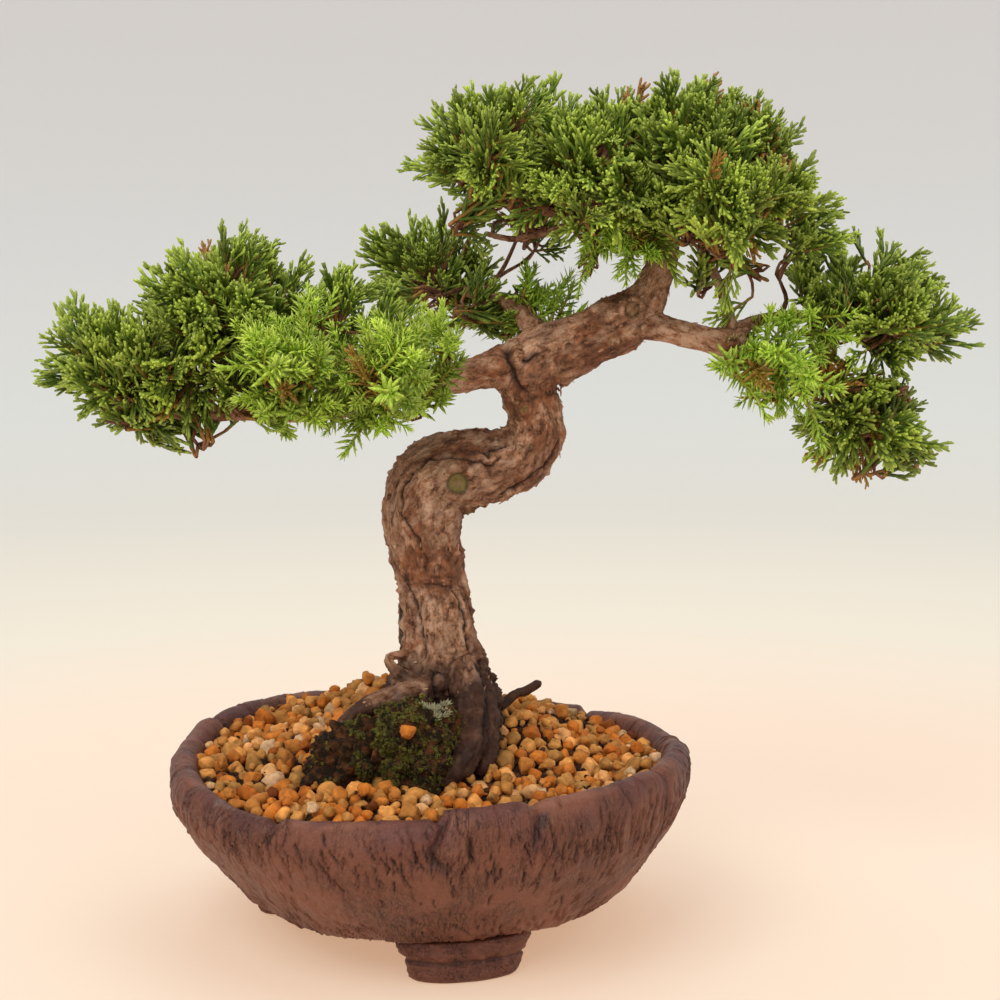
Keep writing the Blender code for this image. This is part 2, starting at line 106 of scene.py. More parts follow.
# Layers of grains: least and greatest share of the grain size, tries, height over the bed in half grains.
GRAIN_LAYERS = [(1.15, 1.5, 700, 0.1), (0.8, 1.15, 5000, 0.15), (0.5, 0.8, 5000, 0.4), (0.7, 1.15, 2600, 1.2)]
GRAIN_REACH = 62.5
STRAY_GRAIN = (-3.8, -35.0, 60.0, 2.3)  # x, y, z and radius of the grain caught on the moss
SOIL_RADIUS = 61.8
SOIL_UNDERSIDE = 38.8

# Stems as (x, y, z, radius).
STEMS = {
    "trunk": [
        (5, -2, 42, 15), (5, -2, 54, 12.6), (4.6, -2, 63, 11.2), (3, -1, 75, 9.6), (1.4, 0, 90, 8.9),
        (-0.3, 0, 102, 9.6), (-0.9, 0, 111, 10.4), (2.5, 0, 118.5, 10.6), (10, 0, 121.4, 10.4),
        (17, 0, 122.9, 9.3), (24, 0, 125.6, 8.4), (28, 0, 131.5, 7.6), (27.9, 0, 137, 6.9),
        (26.2, 0, 142, 6.9), (26, 0, 147, 8.8), (29.5, 0, 151, 8.8), (36, 0, 154.4, 7.8), (43, 0, 157.3, 7.2),
        (50, 0, 160.6, 7.4), (55, 0, 164, 6.4), (58.5, 0, 169, 4.6), (60.7, 0, 174, 3.9),
        (62, 1, 179, 3.6), (62.5, 2, 184, 3), (62, 2, 192, 2), (64, 3, 200, 1.4),
    ],
    "front_root": [(9, -8, 70, 4.4), (11, -14, 62, 4.2), (11.5, -19, 55, 3.8), (9.5, -23.5, 50, 3.4),
                   (5.5, -27.5, 46.8, 2.6), (2, -30, 45.4, 1.6)],
    "second_front_root": [(13, -8, 66, 3.2), (15.5, -13, 58, 2.8), (16, -17, 51, 2.4), (14.5, -21, 46, 1.8)],
    "left_front_root": [(3, -9, 65.5, 4.2), (-3, -16, 66, 2.8), (-11, -20, 65, 2.4), (-19, -23, 60.5, 2.1),
                        (-24, -26, 54, 1.8), (-27, -27, 48, 1.4)],
    "right_root": [(10, 2, 57, 7), (17, 4, 50, 5), (24, 7, 43, 4)],
    "back_root": [(3, 6, 58, 9), (0, 14, 51, 6.5), (-3, 18, 44, 5)],
    "left_root": [(-4, 2, 58, 8), (-13, 4, 51, 6), (-19, 4, 44, 4.5)],
    "curled_root": [(0, -7, 64, 2.2), (-4.5, -9, 67, 1.7), (-9.3, -9.5, 71.2, 1.3), (-10.2, -8, 73.4, 1.1),
                    (-5, -6, 73.5, 1.3)],
    "dead_stub": [(13, 1, 56.5, 2.2), (20, 3, 58.2, 1.4), (23, 4, 60.4, 1.1), (26, 5, 61.2, 1.25),
                  (29.6, 5, 63.4, 1.05)],
    "left_limb": [
        (23, -3, 150, 6), (14, -6, 148, 4.4), (4, -9, 146, 3.7), (-8, -10, 143, 3), (-20, -11, 139.5, 2.7),
        (-34, -12, 137.5, 2.4), (-48, -13, 138, 2), (-60, -13, 137, 1.6), (-74, -12, 141, 1.2),
    ],
    "left_top_twig": [
        (-20, -11, 139.5, 2.0), (-30, -8, 148, 1.5), (-42, -5, 156, 1.2), (-52, -4, 166, 0.9),
    ],
    "back_limb": [
        (30, 4, 155, 4), (28, 10, 159, 3), (23, 17, 164.5, 2.4), (17, 23, 167, 1.8), (6, 29, 170, 1.3),
    ],
    "right_limb": [
        (50, 0, 161, 5), (59, -3, 159.5, 3.6), (69, -5, 157, 3.1), (76, -5, 155.6, 3.7), (81, -4, 156, 3.2),
    ],
    "right_twig": [
        (80, -4, 157.5, 2.4), (86, 2, 161, 1.6), (96, 4, 162.5, 1.4), (106, 5, 162, 1.3),
        (118, 4, 162, 1.0),
    ],
    "hanging_twig": [
        (80, -4, 155.5, 2.4), (90, 2, 151.5, 1.5), (101, 4, 147, 1.3), (108, 4, 143.4, 1.2),
        (113, 3, 134, 0.9),
    ],
    "rising_twig": [
        (79, -4, 158, 2), (78, 0, 166, 1.5), (75, 2, 174, 1.3), (72, 3, 179, 1.2), (76, 3, 192, 0.9),
    ],
    "crown_left_limb": [
        (61.5, 1, 180, 2.6), (53, 1, 185, 2.0), (45, 0, 187.5, 1.7), (34, 0, 189, 1.3), (22, 0, 191, 1.0),
        (12, -2, 196, 0.8),
    ],
    "inner_twig": [(45, 0, 187, 1.4), (33, 2, 184.5, 1.1), (23, 4, 182.5, 0.9), (15, 6, 184, 0.7)],
    "crown_right_limb": [(62.5, 2, 184, 2.4), (72, -2, 188, 1.8), (82, -6, 194, 1.3), (90, -4, 202, 1.0)],
}
STEM_STEP = 1.2
STEM_SIDES = 36
WOOD_NODE = "trunk_roots_and_limbs"
# Cracks in the bark's front, as (x, z) points, with width and depth.
CRACKS = [
    ([(19, 126), (17, 124), (14, 125), (10, 125.5), (5.5, 126), (0.5, 126), (-2.5, 123), (-5, 119.5),
      (-6.5, 115.5), (-6.5, 111.5), (-4.5, 108), (-2.5, 105), (-1.5, 102)], 0.36, 0.9),
    ([(14.5, 127), (16, 126), (16.5, 127.5), (20.5, 129)], 0.34, 0.7),
    ([(-8, 99.5), (-7, 94.5), (-4.5, 91), (-3, 88), (-1.5, 83), (-1, 77), (-0.5, 73.5)], 0.34, 0.7),
    ([(6.5, 91), (8.5, 87), (9.5, 82), (10, 75)], 0.36, 0.5),
    ([(-1, 93), (3, 92.5), (6.5, 92)], 0.30, 0.4),
    ([(25, 151), (26.5, 151.5), (29, 153)], 0.6, 0.9),
    ([(20.5, 154), (22, 149.5), (23, 146), (24.5, 143.5)], 0.9, 1.6),
    ([(-8.5, 92), (-7.5, 82.5), (-7, 75.5)], 0.34, 0.5),
    ([(34.5, 130.5), (30.5, 123), (24, 119), (19, 116)], 0.40, 0.6),
    ([(1.5, 70), (2.5, 62), (0.5, 54)], 0.6, 0.9), ([(13, 72), (15.5, 64), (15, 55)], 0.6, 0.9),
]
# Knots on the front: x, z, outer radius, rise of the ring, depth of the middle, how pale the middle is.
KNOTS = [
    (8, 119.5, 5.2, 1.1, 0.5, 0.9), (10.5, 111.5, 1.6, 0.8, 0.0, 0.9), (25.5, 138.5, 1.8, 1.0, 0.0, 0.4),
    (53, 164, 3.6, 0.7, 0.8, 0.3), (36.5, 154.5, 1.5, 0.5, 0.3, 0.2), (35, 151, 1.3, 0.6, 0.0, 0.1),
    (40.5, 150.5, 1.3, 0.6, 0.2, 0.1), (42.5, 159.5, 1.4, 0.5, 0.3, 0.2), (48, 156.5, 1.8, 0.5, 0.4, 0.2),
    (24.5, 128.5, 1.2, 0.5, 0.3, 0.2), (27, 129, 1.1, 0.5, 0.2, 0.2), (6, 102, 0.9, 0.3, 0.3, 0.0),
    (-2, 116.5, 0.9, 0.4, 0.0, 0.3), (31.5, 136.5, 1.0, 0.6, 0.0, 0.1), (29.5, 133.5, 1.0, 0.5, 0.2, 0.1),
    (-4.5, 90, 1.0, 0.4, 0.3, 0.0),
]
# Places where the outer bark is gone, or thick and red where the strength is below zero:
# x, z, radius along x, radius along z, strength.
BARE_PATCHES = [
    (24.5, 154, 2.5, 4.0, 0.9), (4, 112, 5, 7, 0.55), (12, 119, 7, 4, 0.45), (66, 158, 7, 3, 0.8),
    (1, 100, 4, 8, 0.4), (-9, 67, 9, 3, 0.6), (2, 97, 10, 6, -0.9), (27, 147, 6, 7, -0.6),
    (41, 152, 7, 4, -0.6), (22, 125, 8, 5, 0.5), (3, 84, 5, 5, 0.4), (14, 79, 4, 8, -0.6),
]

# Foliage by the node it stands for; a name with a dot adds shoots of another tone to the node before the dot.
# Kind, spacing, shoot length, how yellow, how much it droops, and the lobes as (x, y, z, three radii).
PADS = {
    "pad_left_outer": ("scale", 5.4, 17, 0.10, 0.0, [
        (-75, -12, 154, 21, 26, 16), (-84, -10, 154, 14, 22, 12),
    ]),
    "pad_left_inner": ("scale", 5.6, 18, 0.25, 0.0, [(-55, -8, 161, 20, 28, 18), (-50, -2, 171, 12, 20, 13)]),
    "pad_left_inner.pale": ("scale", 7.5, 20, 1.30, 0.0, [(-62, -28, 160, 16, 9, 8)]),
    "pad_left_behind": ("scale", 5.6, 17, 0.00, 0.0, [(-30, 6, 161, 20, 18, 16), (-22, -2, 167, 15, 16, 11)]),
    "shoots_under_left_pad": ("scale", 6.6, 16, 0.20, 0.90, [
        (-52, -22, 144, 18, 12, 9), (-72, -20, 147, 14, 12, 8),
    ]),
    "juvenile_needles_left": ("needle", 5.0, 13, 0.90, 0.0, [
        (-34, -28, 155, 16, 15, 12), (-28, -28, 152, 15, 14, 11),
    ]),
    "juvenile_needles_right": ("needle", 5.0, 13, 1.00, 0.0, [
        (-4, -28, 152, 17, 15, 11), (1, -26, 149, 12, 12, 8),
    ]),
    "hanging_needles": ("needle", 5.4, 13, 0.20, 0.6, [(-15, -25, 139, 8, 8, 5)]),
    "pad_behind_trunk": ("scale", 5.4, 15, -0.10, 0.0, [
        (-6, 33, 174, 16, 18, 14), (1, 36, 182, 14, 15, 10), (15, 22, 163, 9, 10, 8),
    ]),
    "tufts_behind_trunk": ("needle", 5.0, 12, -0.10, 0.0, [(36, 19, 166, 12, 10, 6)]),
    "crown_upper_left": ("scale", 5.2, 16, 0.25, 0.0, [
        (16, -8, 207, 17, 27, 13), (20, -4, 212, 14, 23, 12), (27, -6, 197, 7, 9, 5),
    ]),
    "crown_top_middle": ("scale", 5.2, 16, 0.10, 0.0, [
        (43, -2, 211, 18, 28, 11), (42, -26, 203, 17, 13, 10),
    ]),
    "crown_top_right": ("scale", 5.2, 16, 0.00, 0.0, [(67, -2, 213, 15, 25, 12), (64, -24, 203, 14, 12, 11)]),
    "crown_right": ("scale", 5.2, 16, -0.30, 0.0, [(82, 2, 208, 12, 25, 11)]),
    "crown_right_front": ("scale", 5.2, 16, 0.40, 0.0, [
        (76, -28, 190, 20, 20, 13), (80, -26, 190, 15, 17, 11), (71, -10, 181, 8, 7, 5),
    ]),
    "crown_right_front.pale": ("scale", 7.0, 19, 0.90, 0.0, [(70, -34, 192, 14, 10, 8)]),
    "crown_middle_front": ("scale", 5.2, 15, 0.45, 0.1, [(48, -28, 193, 17, 14, 9)]),
    "crown_back": ("scale", 5.6, 17, -0.10, 0.0, [(50, 32, 200, 34, 18, 15)]),
    "needles_under_crown": ("needle", 5.0, 10, 0.10, 0.6, [(49, -13, 181, 12, 8, 5.5)]),
    "pad_right_upper": ("scale", 6.4, 18, 0.10, 0.0, [(108, 0, 176, 19, 22, 11)]),
    "pad_right_tip": ("scale", 5.8, 17, -0.20, 0.1, [(126, 0, 161, 16, 22, 15)]),
    "needles_on_right_limb": ("needle", 5.4, 13, 0.25, 0.4, [
        (94, -16, 151, 13, 12, 11), (89, -16, 146, 8, 9, 6),
    ]),
    "pad_lower_right": ("scale", 5.6, 17, -0.10, 0.5, [(117, 0, 132, 18, 20, 14)]),
    "pad_lower_right.dead": ("scale", 7.5, 15, 0.0, 0.2, [(107, -10, 149, 10, 6, 7)]),
}
MOSS_LOBES = [
    (-4, -24, 55, 13, 12, 10), (-15, -25, 52, 13, 11, 9.5), (-21, -26, 48, 10, 9, 8), (-2, -30, 49, 10, 8, 7),
]
LICHEN = (2.5, -26, 64)  # middle of the lichen tuft
LICHEN_RADIUS = 3.6
# Share of dead shoots in the pads that have more than a few.
DRY_SHARE = {
    "pad_lower_right": 0.06, "pad_lower_right.dead": 0.75, "needles_on_right_limb": 0.05,
    "shoots_under_left_pad": 0.08,
}
FEW_DRY = 0.012  # share of dead shoots in the other pads
MAX_FACES = 195000  # a pad stays under this, so that it keeps its whole mesh when exported

# Lamps, in metres: name, place, size, share of the key light's power, colour.
LAMPS = [
    ("key_softbox", (-0.50, -0.75, 1.00), 0.85, 1.0, (1.0, 0.955, 0.90)),
    ("fill_softbox", (0.60, -0.42, 0.78), 0.7, 0.27, (1.0, 0.96, 0.92)),
    ("top_softbox", (0.05, 0.25, 1.15), 0.9, 0.55, (0.97, 0.98, 1.0)),
]
LAMP_AIM = (0.0, 0.0, 0.12)
ROOM_COLOUR = (0.93, 0.94, 1.0, 1.0)
ROOM_STRENGTH = 0.24
CAMERA_SENSOR = 36.0  # in millimetres, as the lens
CAMERA_LENS = 61.56
CAMERA_SIDE = 0.019  # to the right of the pot's axis, in metres
CAMERA_HEIGHT = 0.166
CAMERA_TILT = math.radians(83.4)


# ---------------------------------------------------------------- shared tools

def placed(points):
    """Points in millimetres from the pot's axis, as places in the frame."""
    return POT_AXIS + np.asarray(points, float) * MM


def unit(vectors):
    """The same directions with a length of one."""
    return vectors / np.maximum(np.linalg.norm(vectors, axis=-1, keepdims=True), 1e-9)


def noise(points, seed=0):
    """Smooth gradient noise from about -1 to 1, with one unit between its lumps."""
    rng = np.random.default_rng(seed)
    slopes = unit(rng.normal(size=(256, 3)))
    order = rng.permutation(256)
    cell = np.floor(points).astype(np.int64)
    local = points - cell
    fade = local ** 3 * (local * (local * 6 - 15) + 10)
    total = np.zeros(len(points))
    for corner in product((0, 1), repeat=3):
        at = cell + corner
        index = order[(order[(order[at[:, 0] & 255] + at[:, 1]) & 255] + at[:, 2]) & 255]
        weight = np.prod(np.where(corner, fade, 1 - fade), axis=1)
        total += weight * np.einsum("ij,ij->i", slopes[index], local - corner)
    return total * 1.7


def layered_noise(points, seed=0, layers=3):
    """Noise with finer layers on top, each half as strong."""
    return sum(noise(points * 2 ** k, seed + k) / 2 ** k for k in range(layers))


def ridges(points, seed=0):
    """From 0 in the hollows to 1 along narrow ridges."""
    return 1 - np.abs(noise(points, seed))


def soft_step(low, high, values):
    """0 below low, 1 above high, and a smooth turn between them."""
    share = np.clip((values - low) / (high - low), 0, 1)
    return share * share * (3 - 2 * share)


def turned_from(angles, middle):
    """How far the angles are from a middle one, from -pi to pi."""
    return (angles - middle + math.pi) % (2 * math.pi) - math.pi


def full_turn(count):
    """Angles spread evenly over a full turn."""
    return np.arange(count) * 2 * math.pi / count


def ring_faces(rows, columns, closed=False, turned=False):
    """Quads between rings of points; closed joins the last ring to the first, turned flips the quads."""
    i, j = np.meshgrid(np.arange(rows if closed else rows - 1), np.arange(columns), indexing="ij")
    above, beside = (i + 1) % rows, (j + 1) % columns
    corners = [i * columns + j, i * columns + beside, above * columns + beside, above * columns + j]
    if turned:
        corners = [corners[k] for k in (0, 3, 2, 1)]
    return np.stack(corners, -1).reshape(-1, 4)


def point_along(path, share):
    """The point at a share of the way along a path with even steps."""
    at = share * (len(path) - 1)
    return np.array([np.interp(at, np.arange(len(path)), path[:, k]) for k in range(3)])


def add_piece(name, points, faces, material, stands_for=(), marks=None, smooth=True):
    """A mesh piece that rides on the body. faces holds one array for each number of corners."""
    old = bpy.data.objects.get(name)
    if old is not None:
        bpy.data.objects.remove(old)
    blocks = [np.asarray(block, np.int32) for block in faces if len(block)]
    sizes = np.concatenate([np.full(len(block), block.shape[1]) for block in blocks])
    mesh = bpy.data.meshes.new(name)
    mesh.vertices.add(len(points))
    mesh.vertices.foreach_set("co", placed(points).astype(np.float32).ravel())
    mesh.loops.add(int(sizes.sum()))
    mesh.loops.foreach_set("vertex_index", np.concatenate([block.ravel() for block in blocks]))
    mesh.polygons.add(len(sizes))
    mesh.polygons.foreach_set("loop_start", np.concatenate([[0], np.cumsum(sizes)[:-1]]).astype(np.int32))
    mesh.polygons.foreach_set("use_smooth", np.full(len(sizes), smooth))
    mesh.update(calc_edges=True)
    mesh.validate()
    for mark, values in (marks or {}).items():
        values = np.asarray(values, np.float32)
        kind, field = ("FLOAT", "value") if values.ndim == 1 else ("FLOAT_VECTOR", "vector")
        mesh.attributes.new(mark, kind, "POINT").data.foreach_set(field, values.ravel())
    piece = bpy.data.objects.new(name, mesh)
    bpy.context.scene.collection.objects.link(piece)
    mesh.materials.append(material)
    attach(piece, BODY)
    if stands_for:
        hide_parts(*stands_for)
    return piece


def smooth_path(knots, step):
    """Points along a smooth curve through the knots, about step apart. Any further columns go with them."""
    knots = np.asarray(knots, float)
    knots = np.vstack([2 * knots[0] - knots[1], knots, 2 * knots[-1] - knots[-2]])
    path = []
    for a, b, c, d in zip(knots, knots[1:], knots[2:], knots[3:]):
        count = max(1, round(float(np.linalg.norm((c - b)[:3])) / step))
        t = (np.arange(count) / count)[:, None]
        path.append(0.5 * (2 * b + (c - a) * t + (2 * a - 5 * b + 4 * c - d) * t ** 2
                           + (3 * b - a - 3 * c + d) * t ** 3))
    return np.vstack([*path, knots[-2:-1]])


def path_frames(path):
    """The direction along a path, and two directions across it that turn as little as possible."""
    ahead = unit(np.gradient(path, axis=0))
    side = np.empty_like(ahead)
    last = np.eye(3)[np.argmin(np.abs(ahead[0]))]
    for k, direction in enumerate(ahead):
        last = unit(last - direction * (last @ direction))
        side[k] = last
    return ahead, side, np.cross(ahead, side)


def tube(path, radii, sides):
    """A closed tube round a path: its points, triangles, and each point's share of the way along."""
    path = np.asarray(path, float)
    radii = np.broadcast_to(radii, (len(path),)).astype(float)
    ahead, side, other = path_frames(path)
    turns = np.arange(sides) * 2 * math.pi / sides
    ring = np.cos(turns)[None, :, None] * side[:, None] + np.sin(turns)[None, :, None] * other[:, None]
    skin = (path[:, None] + radii[:, None, None] * ring).reshape(-1, 3)
    ends = [path[0] - ahead[0] * radii[0] * 0.5, path[-1] + ahead[-1] * radii[-1] * 0.8]
    rings = len(path)
    i = np.arange(sides)
    j = (i + 1) % sides
    low = np.arange(rings - 1)[:, None] * sides
    a, b, c, d = low + i, low + j, low + j + sides, low + i + sides
    last = (rings - 1) * sides
    faces = np.vstack([
        np.stack([a, b, c], -1).reshape(-1, 3), np.stack([a, c, d], -1).reshape(-1, 3),
        np.stack([np.full(sides, rings * sides), j, i], -1),
        np.stack([last + i, last + j, np.full(sides, rings * sides + 1)], -1),
    ])
    along = np.concatenate([np.repeat(np.linspace(0, 1, rings), sides), [0, 1]])
    return np.vstack([skin, ends]), faces, along


class Heap:
    """Collects many small shapes into one mesh, with their marks."""

    def __init__(self):
        self.points, self.faces, self.marks, self.count = [], [], {}, 0

    def add(self, points, faces, **marks):
        self.faces.append(np.asarray(faces) + self.count)
        self.points.append(points)
        for mark, values in marks.items():
            self.marks.setdefault(mark, []).append(np.broadcast_to(values, (len(points),)))
        self.count += len(points)

    def joined(self):
        marks = {mark: np.concatenate(values) for mark, values in self.marks.items()}
        return np.vstack(self.points), np.vstack(self.faces), marks


def ball(levels):
    """A round triangle mesh of radius one, made by splitting an icosahedron."""
    golden = (1 + math.sqrt(5)) / 2
    points = [
        (-1, golden, 0), (1, golden, 0), (-1, -golden, 0), (1, -golden, 0), (0, -1, golden), (0, 1, golden),
        (0, -1, -golden), (0, 1, -golden), (golden, 0, -1), (golden, 0, 1), (-golden, 0, -1), (-golden, 0, 1),
    ]
    faces = [
        (0, 11, 5), (0, 5, 1), (0, 1, 7), (0, 7, 10), (0, 10, 11), (1, 5, 9), (5, 11, 4), (11, 10, 2),
        (10, 7, 6), (7, 1, 8), (3, 9, 4), (3, 4, 2), (3, 2, 6), (3, 6, 8), (3, 8, 9), (4, 9, 5),
        (2, 4, 11), (6, 2, 10), (8, 6, 7), (9, 8, 1),
    ]
    points = [unit(np.array(p, float)) for p in points]
    for _ in range(levels):
        middles, split = {}, []

        def middle(a, b):
            key = (min(a, b), max(a, b))
            if key not in middles:
                middles[key] = len(points)
                points.append(unit(points[a] + points[b]))
            return middles[key]

        for a, b, c in faces:
            ab, bc, ca = middle(a, b), middle(b, c), middle(c, a)
            split += [(a, ab, ca), (b, bc, ab), (c, ca, bc), (ab, bc, ca)]
        faces = split
    return np.array(points), np.array(faces)


def place_many(patterns, choice, where, sideways, ahead, sizes, **marks):
    """Copies of small patterns, each turned, sized and placed. A pattern's own Z goes ahead."""
    heap = Heap()
    third = np.cross(ahead, sideways)
    turns = np.stack([sideways, third, ahead], axis=-1)
    for number, (points, faces, own) in enumerate(patterns):
        used = np.flatnonzero(choice == number)
        if not len(used):
            continue
        moved = np.einsum("nij,pj->npi", turns[used] * sizes[used][:, None, None], points)
        moved += where[used][:, None]
        steps = np.arange(len(used))[:, None, None] * len(points)
        filled = {mark: np.tile(values, len(used)) for mark, values in own.items()}
        filled |= {mark: np.repeat(values[used], len(points)) for mark, values in marks.items()}
        heap.add(moved.reshape(-1, 3), (faces[None] + steps).reshape(-1, 3), **filled)
    return heap.joined()


def lobe_level(points, lobes):
    """Under 1 inside the nearest of the lobes, over 1 outside them."""
    centres = np.array([lobe[:3] for lobe in lobes], float)
    radii = np.array([lobe[3:] for lobe in lobes], float)
    return np.linalg.norm((points[:, None] - centres) / radii, axis=2).min(axis=1)


def over_lobes(lobes, spacing, rng, tries=14):
    """Points spread over the outside of a group of lobes, about spacing apart, with their directions."""
    places, normals = [], []
    for lobe in lobes:
        centre, radii = np.array(lobe[:3], float), np.array(lobe[3:], float)
        area = 4 * math.pi * (np.prod(radii) ** (2 / 3))
        ball_points = unit(rng.normal(size=(int(tries * area / spacing ** 2), 3)))
        places.append(centre + ball_points * radii)
        normals.append(unit(ball_points / radii))
    places, normals = np.vstack(places), np.vstack(normals)
    outside = lobe_level(places, lobes) > 0.97
    places, normals = places[outside], normals[outside]
    kept = []
    for k in rng.permutation(len(places)):
        if not kept or np.min(np.sum((places[kept] - places[k]) ** 2, axis=1)) > spacing ** 2:
            kept.append(k)
    return places[kept], normals[kept]


# ---------------------------------------------------------------- materials

def new_material(name):
    """An empty node material with its Principled shader and its tree."""
    old = bpy.data.materials.get(name)
    if old is not None:
        bpy.data.materials.remove(old)
    material = bpy.data.materials.new(name)
    material.use_nodes = True
    return material, material.node_tree, material.node_tree.nodes["Principled BSDF"]


def add_node(tree, kind, inputs=None, **settings):
    """A node with its settings, and with its inputs set or linked."""
    node = tree.nodes.new(kind)
    for key, value in settings.items():
        setattr(node, key, value)
    for key, value in (inputs or {}).items():
        if isinstance(value, bpy.types.NodeSocket):
            tree.links.new(value, node.inputs[key])
        else:
            node.inputs[key].default_value = value
    return node


def mark_value(tree, mark, field="Fac"):
    """What a mark on the mesh says at each point."""
    return add_node(tree, "ShaderNodeAttribute", attribute_name=mark).outputs[field]


def calculate(tree, operation, a, b=0.0, clamp=False):
    """One step of arithmetic."""
    return add_node(tree, "ShaderNodeMath", {0: a, 1: b}, operation=operation, use_clamp=clamp).outputs[0]


def on_axes(tree, operation, a, b):
    """One step of arithmetic on all three axes."""
    return add_node(tree, "ShaderNodeVectorMath", {0: a, 1: b}, operation=operation).outputs[0]


def blend_colour(tree, share, first, second, way="MIX"):
    """Two colours mixed by a share."""
    node = add_node(tree, "ShaderNodeMix", data_type="RGBA", blend_type=way)
    for socket, value in zip((node.inputs[0], node.inputs[6], node.inputs[7]), (share, first, second)):
        if isinstance(value, bpy.types.NodeSocket):
            tree.links.new(value, socket)
        elif isinstance(value, (int, float)):
            socket.default_value = value
        else:
            socket.default_value = (*value[:3], 1.0)
    return node.outputs[2]


def ramp(tree, value, stops):
    """A smooth colour ramp. stops are (place, grey level or colour)."""
    node = add_node(tree, "ShaderNodeValToRGB", {0: value})
    colours = node.color_ramp.elements
    while len(colours) < len(stops):
        colours.new(0.5)
    for element, (place, colour) in zip(colours, stops):
        element.position = place
        element.color = (colour,) * 3 + (1,) if isinstance(colour, (int, float)) else (*colour[:3], 1)
    return node.outputs[0]


def cloud(tree, place, scale, detail=2.0, roughness=0.5, distortion=0.0, output="Fac"):
    """Cloudy noise over a place."""
    return add_node(tree, "ShaderNodeTexNoise", {
        "Vector": place, "Scale": scale, "Detail": detail, "Roughness": roughness, "Distortion": distortion,
    }).outputs[output]


def stretched(tree, place, scale):
    """A place scaled on its own three axes."""
    return add_node(tree, "ShaderNodeMapping", {"Vector": place, "Scale": scale}).outputs[0]


def scaled(tree, value, factor):
    """A value times a factor."""
    return calculate(tree, "MULTIPLY", value, factor)


def object_place(tree):
    """Each point's place in the object."""
    return add_node(tree, "ShaderNodeTexCoord").outputs["Object"]


def new_group(name, inputs, outputs, kind_out):
    """A node group with named sockets, and its two end nodes. inputs holds names by kind of socket."""
    group = bpy.data.node_groups.new(name, "ShaderNodeTree")
    for kind, sockets in inputs.items():
        for socket in sockets:
            group.interface.new_socket(name=socket, in_out="INPUT", socket_type=kind)
    for socket in outputs:
        group.interface.new_socket(name=socket, in_out="OUTPUT", socket_type=kind_out)
    return group, group.nodes.new("NodeGroupInput"), group.nodes.new("NodeGroupOutput")


def worn_surface_group():
    """Cloudy patches, fine specks and a fine relief, shared by clay, bark, grains, soil and moss."""
    if "worn_surface" in bpy.data.node_groups:
        return bpy.data.node_groups["worn_surface"]
    group, into, out = new_group("worn_surface", {
        "NodeSocketVector": ["Place"], "NodeSocketFloat": ["Patch size", "Speck size", "Relief size"],
    }, ["Patches", "Specks", "Relief"], "NodeSocketFloat")
    place = into.outputs["Place"]
    patches = cloud(group, place, into.outputs["Patch size"], 4.0, 0.6)
    specks = add_node(group, "ShaderNodeTexVoronoi", {"Vector": place, "Scale": into.outputs["Speck size"]})
    fine = cloud(group, place, into.outputs["Relief size"], 3.0, 0.65)
    group.links.new(ramp(group, patches, [(0.32, 0.0), (0.68, 1.0)]), out.inputs["Patches"])
    group.links.new(ramp(group, specks.outputs["Distance"], [(0.08, 1.0), (0.26, 0.0)]), out.inputs["Specks"])
    group.links.new(fine, out.inputs["Relief"])
    return group


def worn_surface(tree, patch, speck, relief):
    """The worn_surface group placed in a material: its patches, specks and relief."""
    node = add_node(tree, "ShaderNodeGroup", {
        "Place": object_place(tree), "Patch size": patch, "Speck size": speck, "Relief size": relief,
    }, node_tree=worn_surface_group())
    return [node.outputs[socket] for socket in ("Patches", "Specks", "Relief")]


def shoot_colour_group():
    """Leaf colour: dark green low on a shoot, pale at its tips, brown where it is old or dry."""
    if "shoot_colour" in bpy.data.node_groups:
        return bpy.data.node_groups["shoot_colour"]
    group, into, out = new_group("shoot_colour", {
        "NodeSocketFloat": ["Tip", "Tone", "Old", "Yellow"],
        "NodeSocketColor": ["Leaf", "New growth", "Wood"],
    }, ["Colour"], "NodeSocketColor")
    fresh = calculate(group, "POWER", into.outputs["Tip"], 1.3)
    fresh = calculate(group, "ADD", fresh, scaled(group, into.outputs["Yellow"], 0.3), clamp=True)
    green = blend_colour(group, fresh, into.outputs["Leaf"], into.outputs["New growth"])
    light = calculate(group, "ADD", scaled(group, into.outputs["Tone"], 0.42), 1.0)
    lights = add_node(group, "ShaderNodeCombineColor", {0: light, 1: light, 2: light}).outputs[0]
    green = blend_colour(group, 1.0, green, lights, "MULTIPLY")
    colour = blend_colour(group, into.outputs["Old"], green, into.outputs["Wood"])
    group.links.new(colour, out.inputs["Colour"])
    return group


def dress(tree, shader, colour, roughness, shine, height, distance, strength=0.9):
    """Links a colour, a roughness and the bump of a height into the shader, and sets how much it shines."""
    tree.links.new(colour, shader.inputs["Base Color"])
    tree.links.new(roughness, shader.inputs["Roughness"])
    shader.inputs["Specular IOR Level"].default_value = shine
    bump = add_node(tree, "ShaderNodeBump", {"Height": height, "Distance": distance, "Strength": strength})
    tree.links.new(bump.outputs[0], shader.inputs["Normal"])


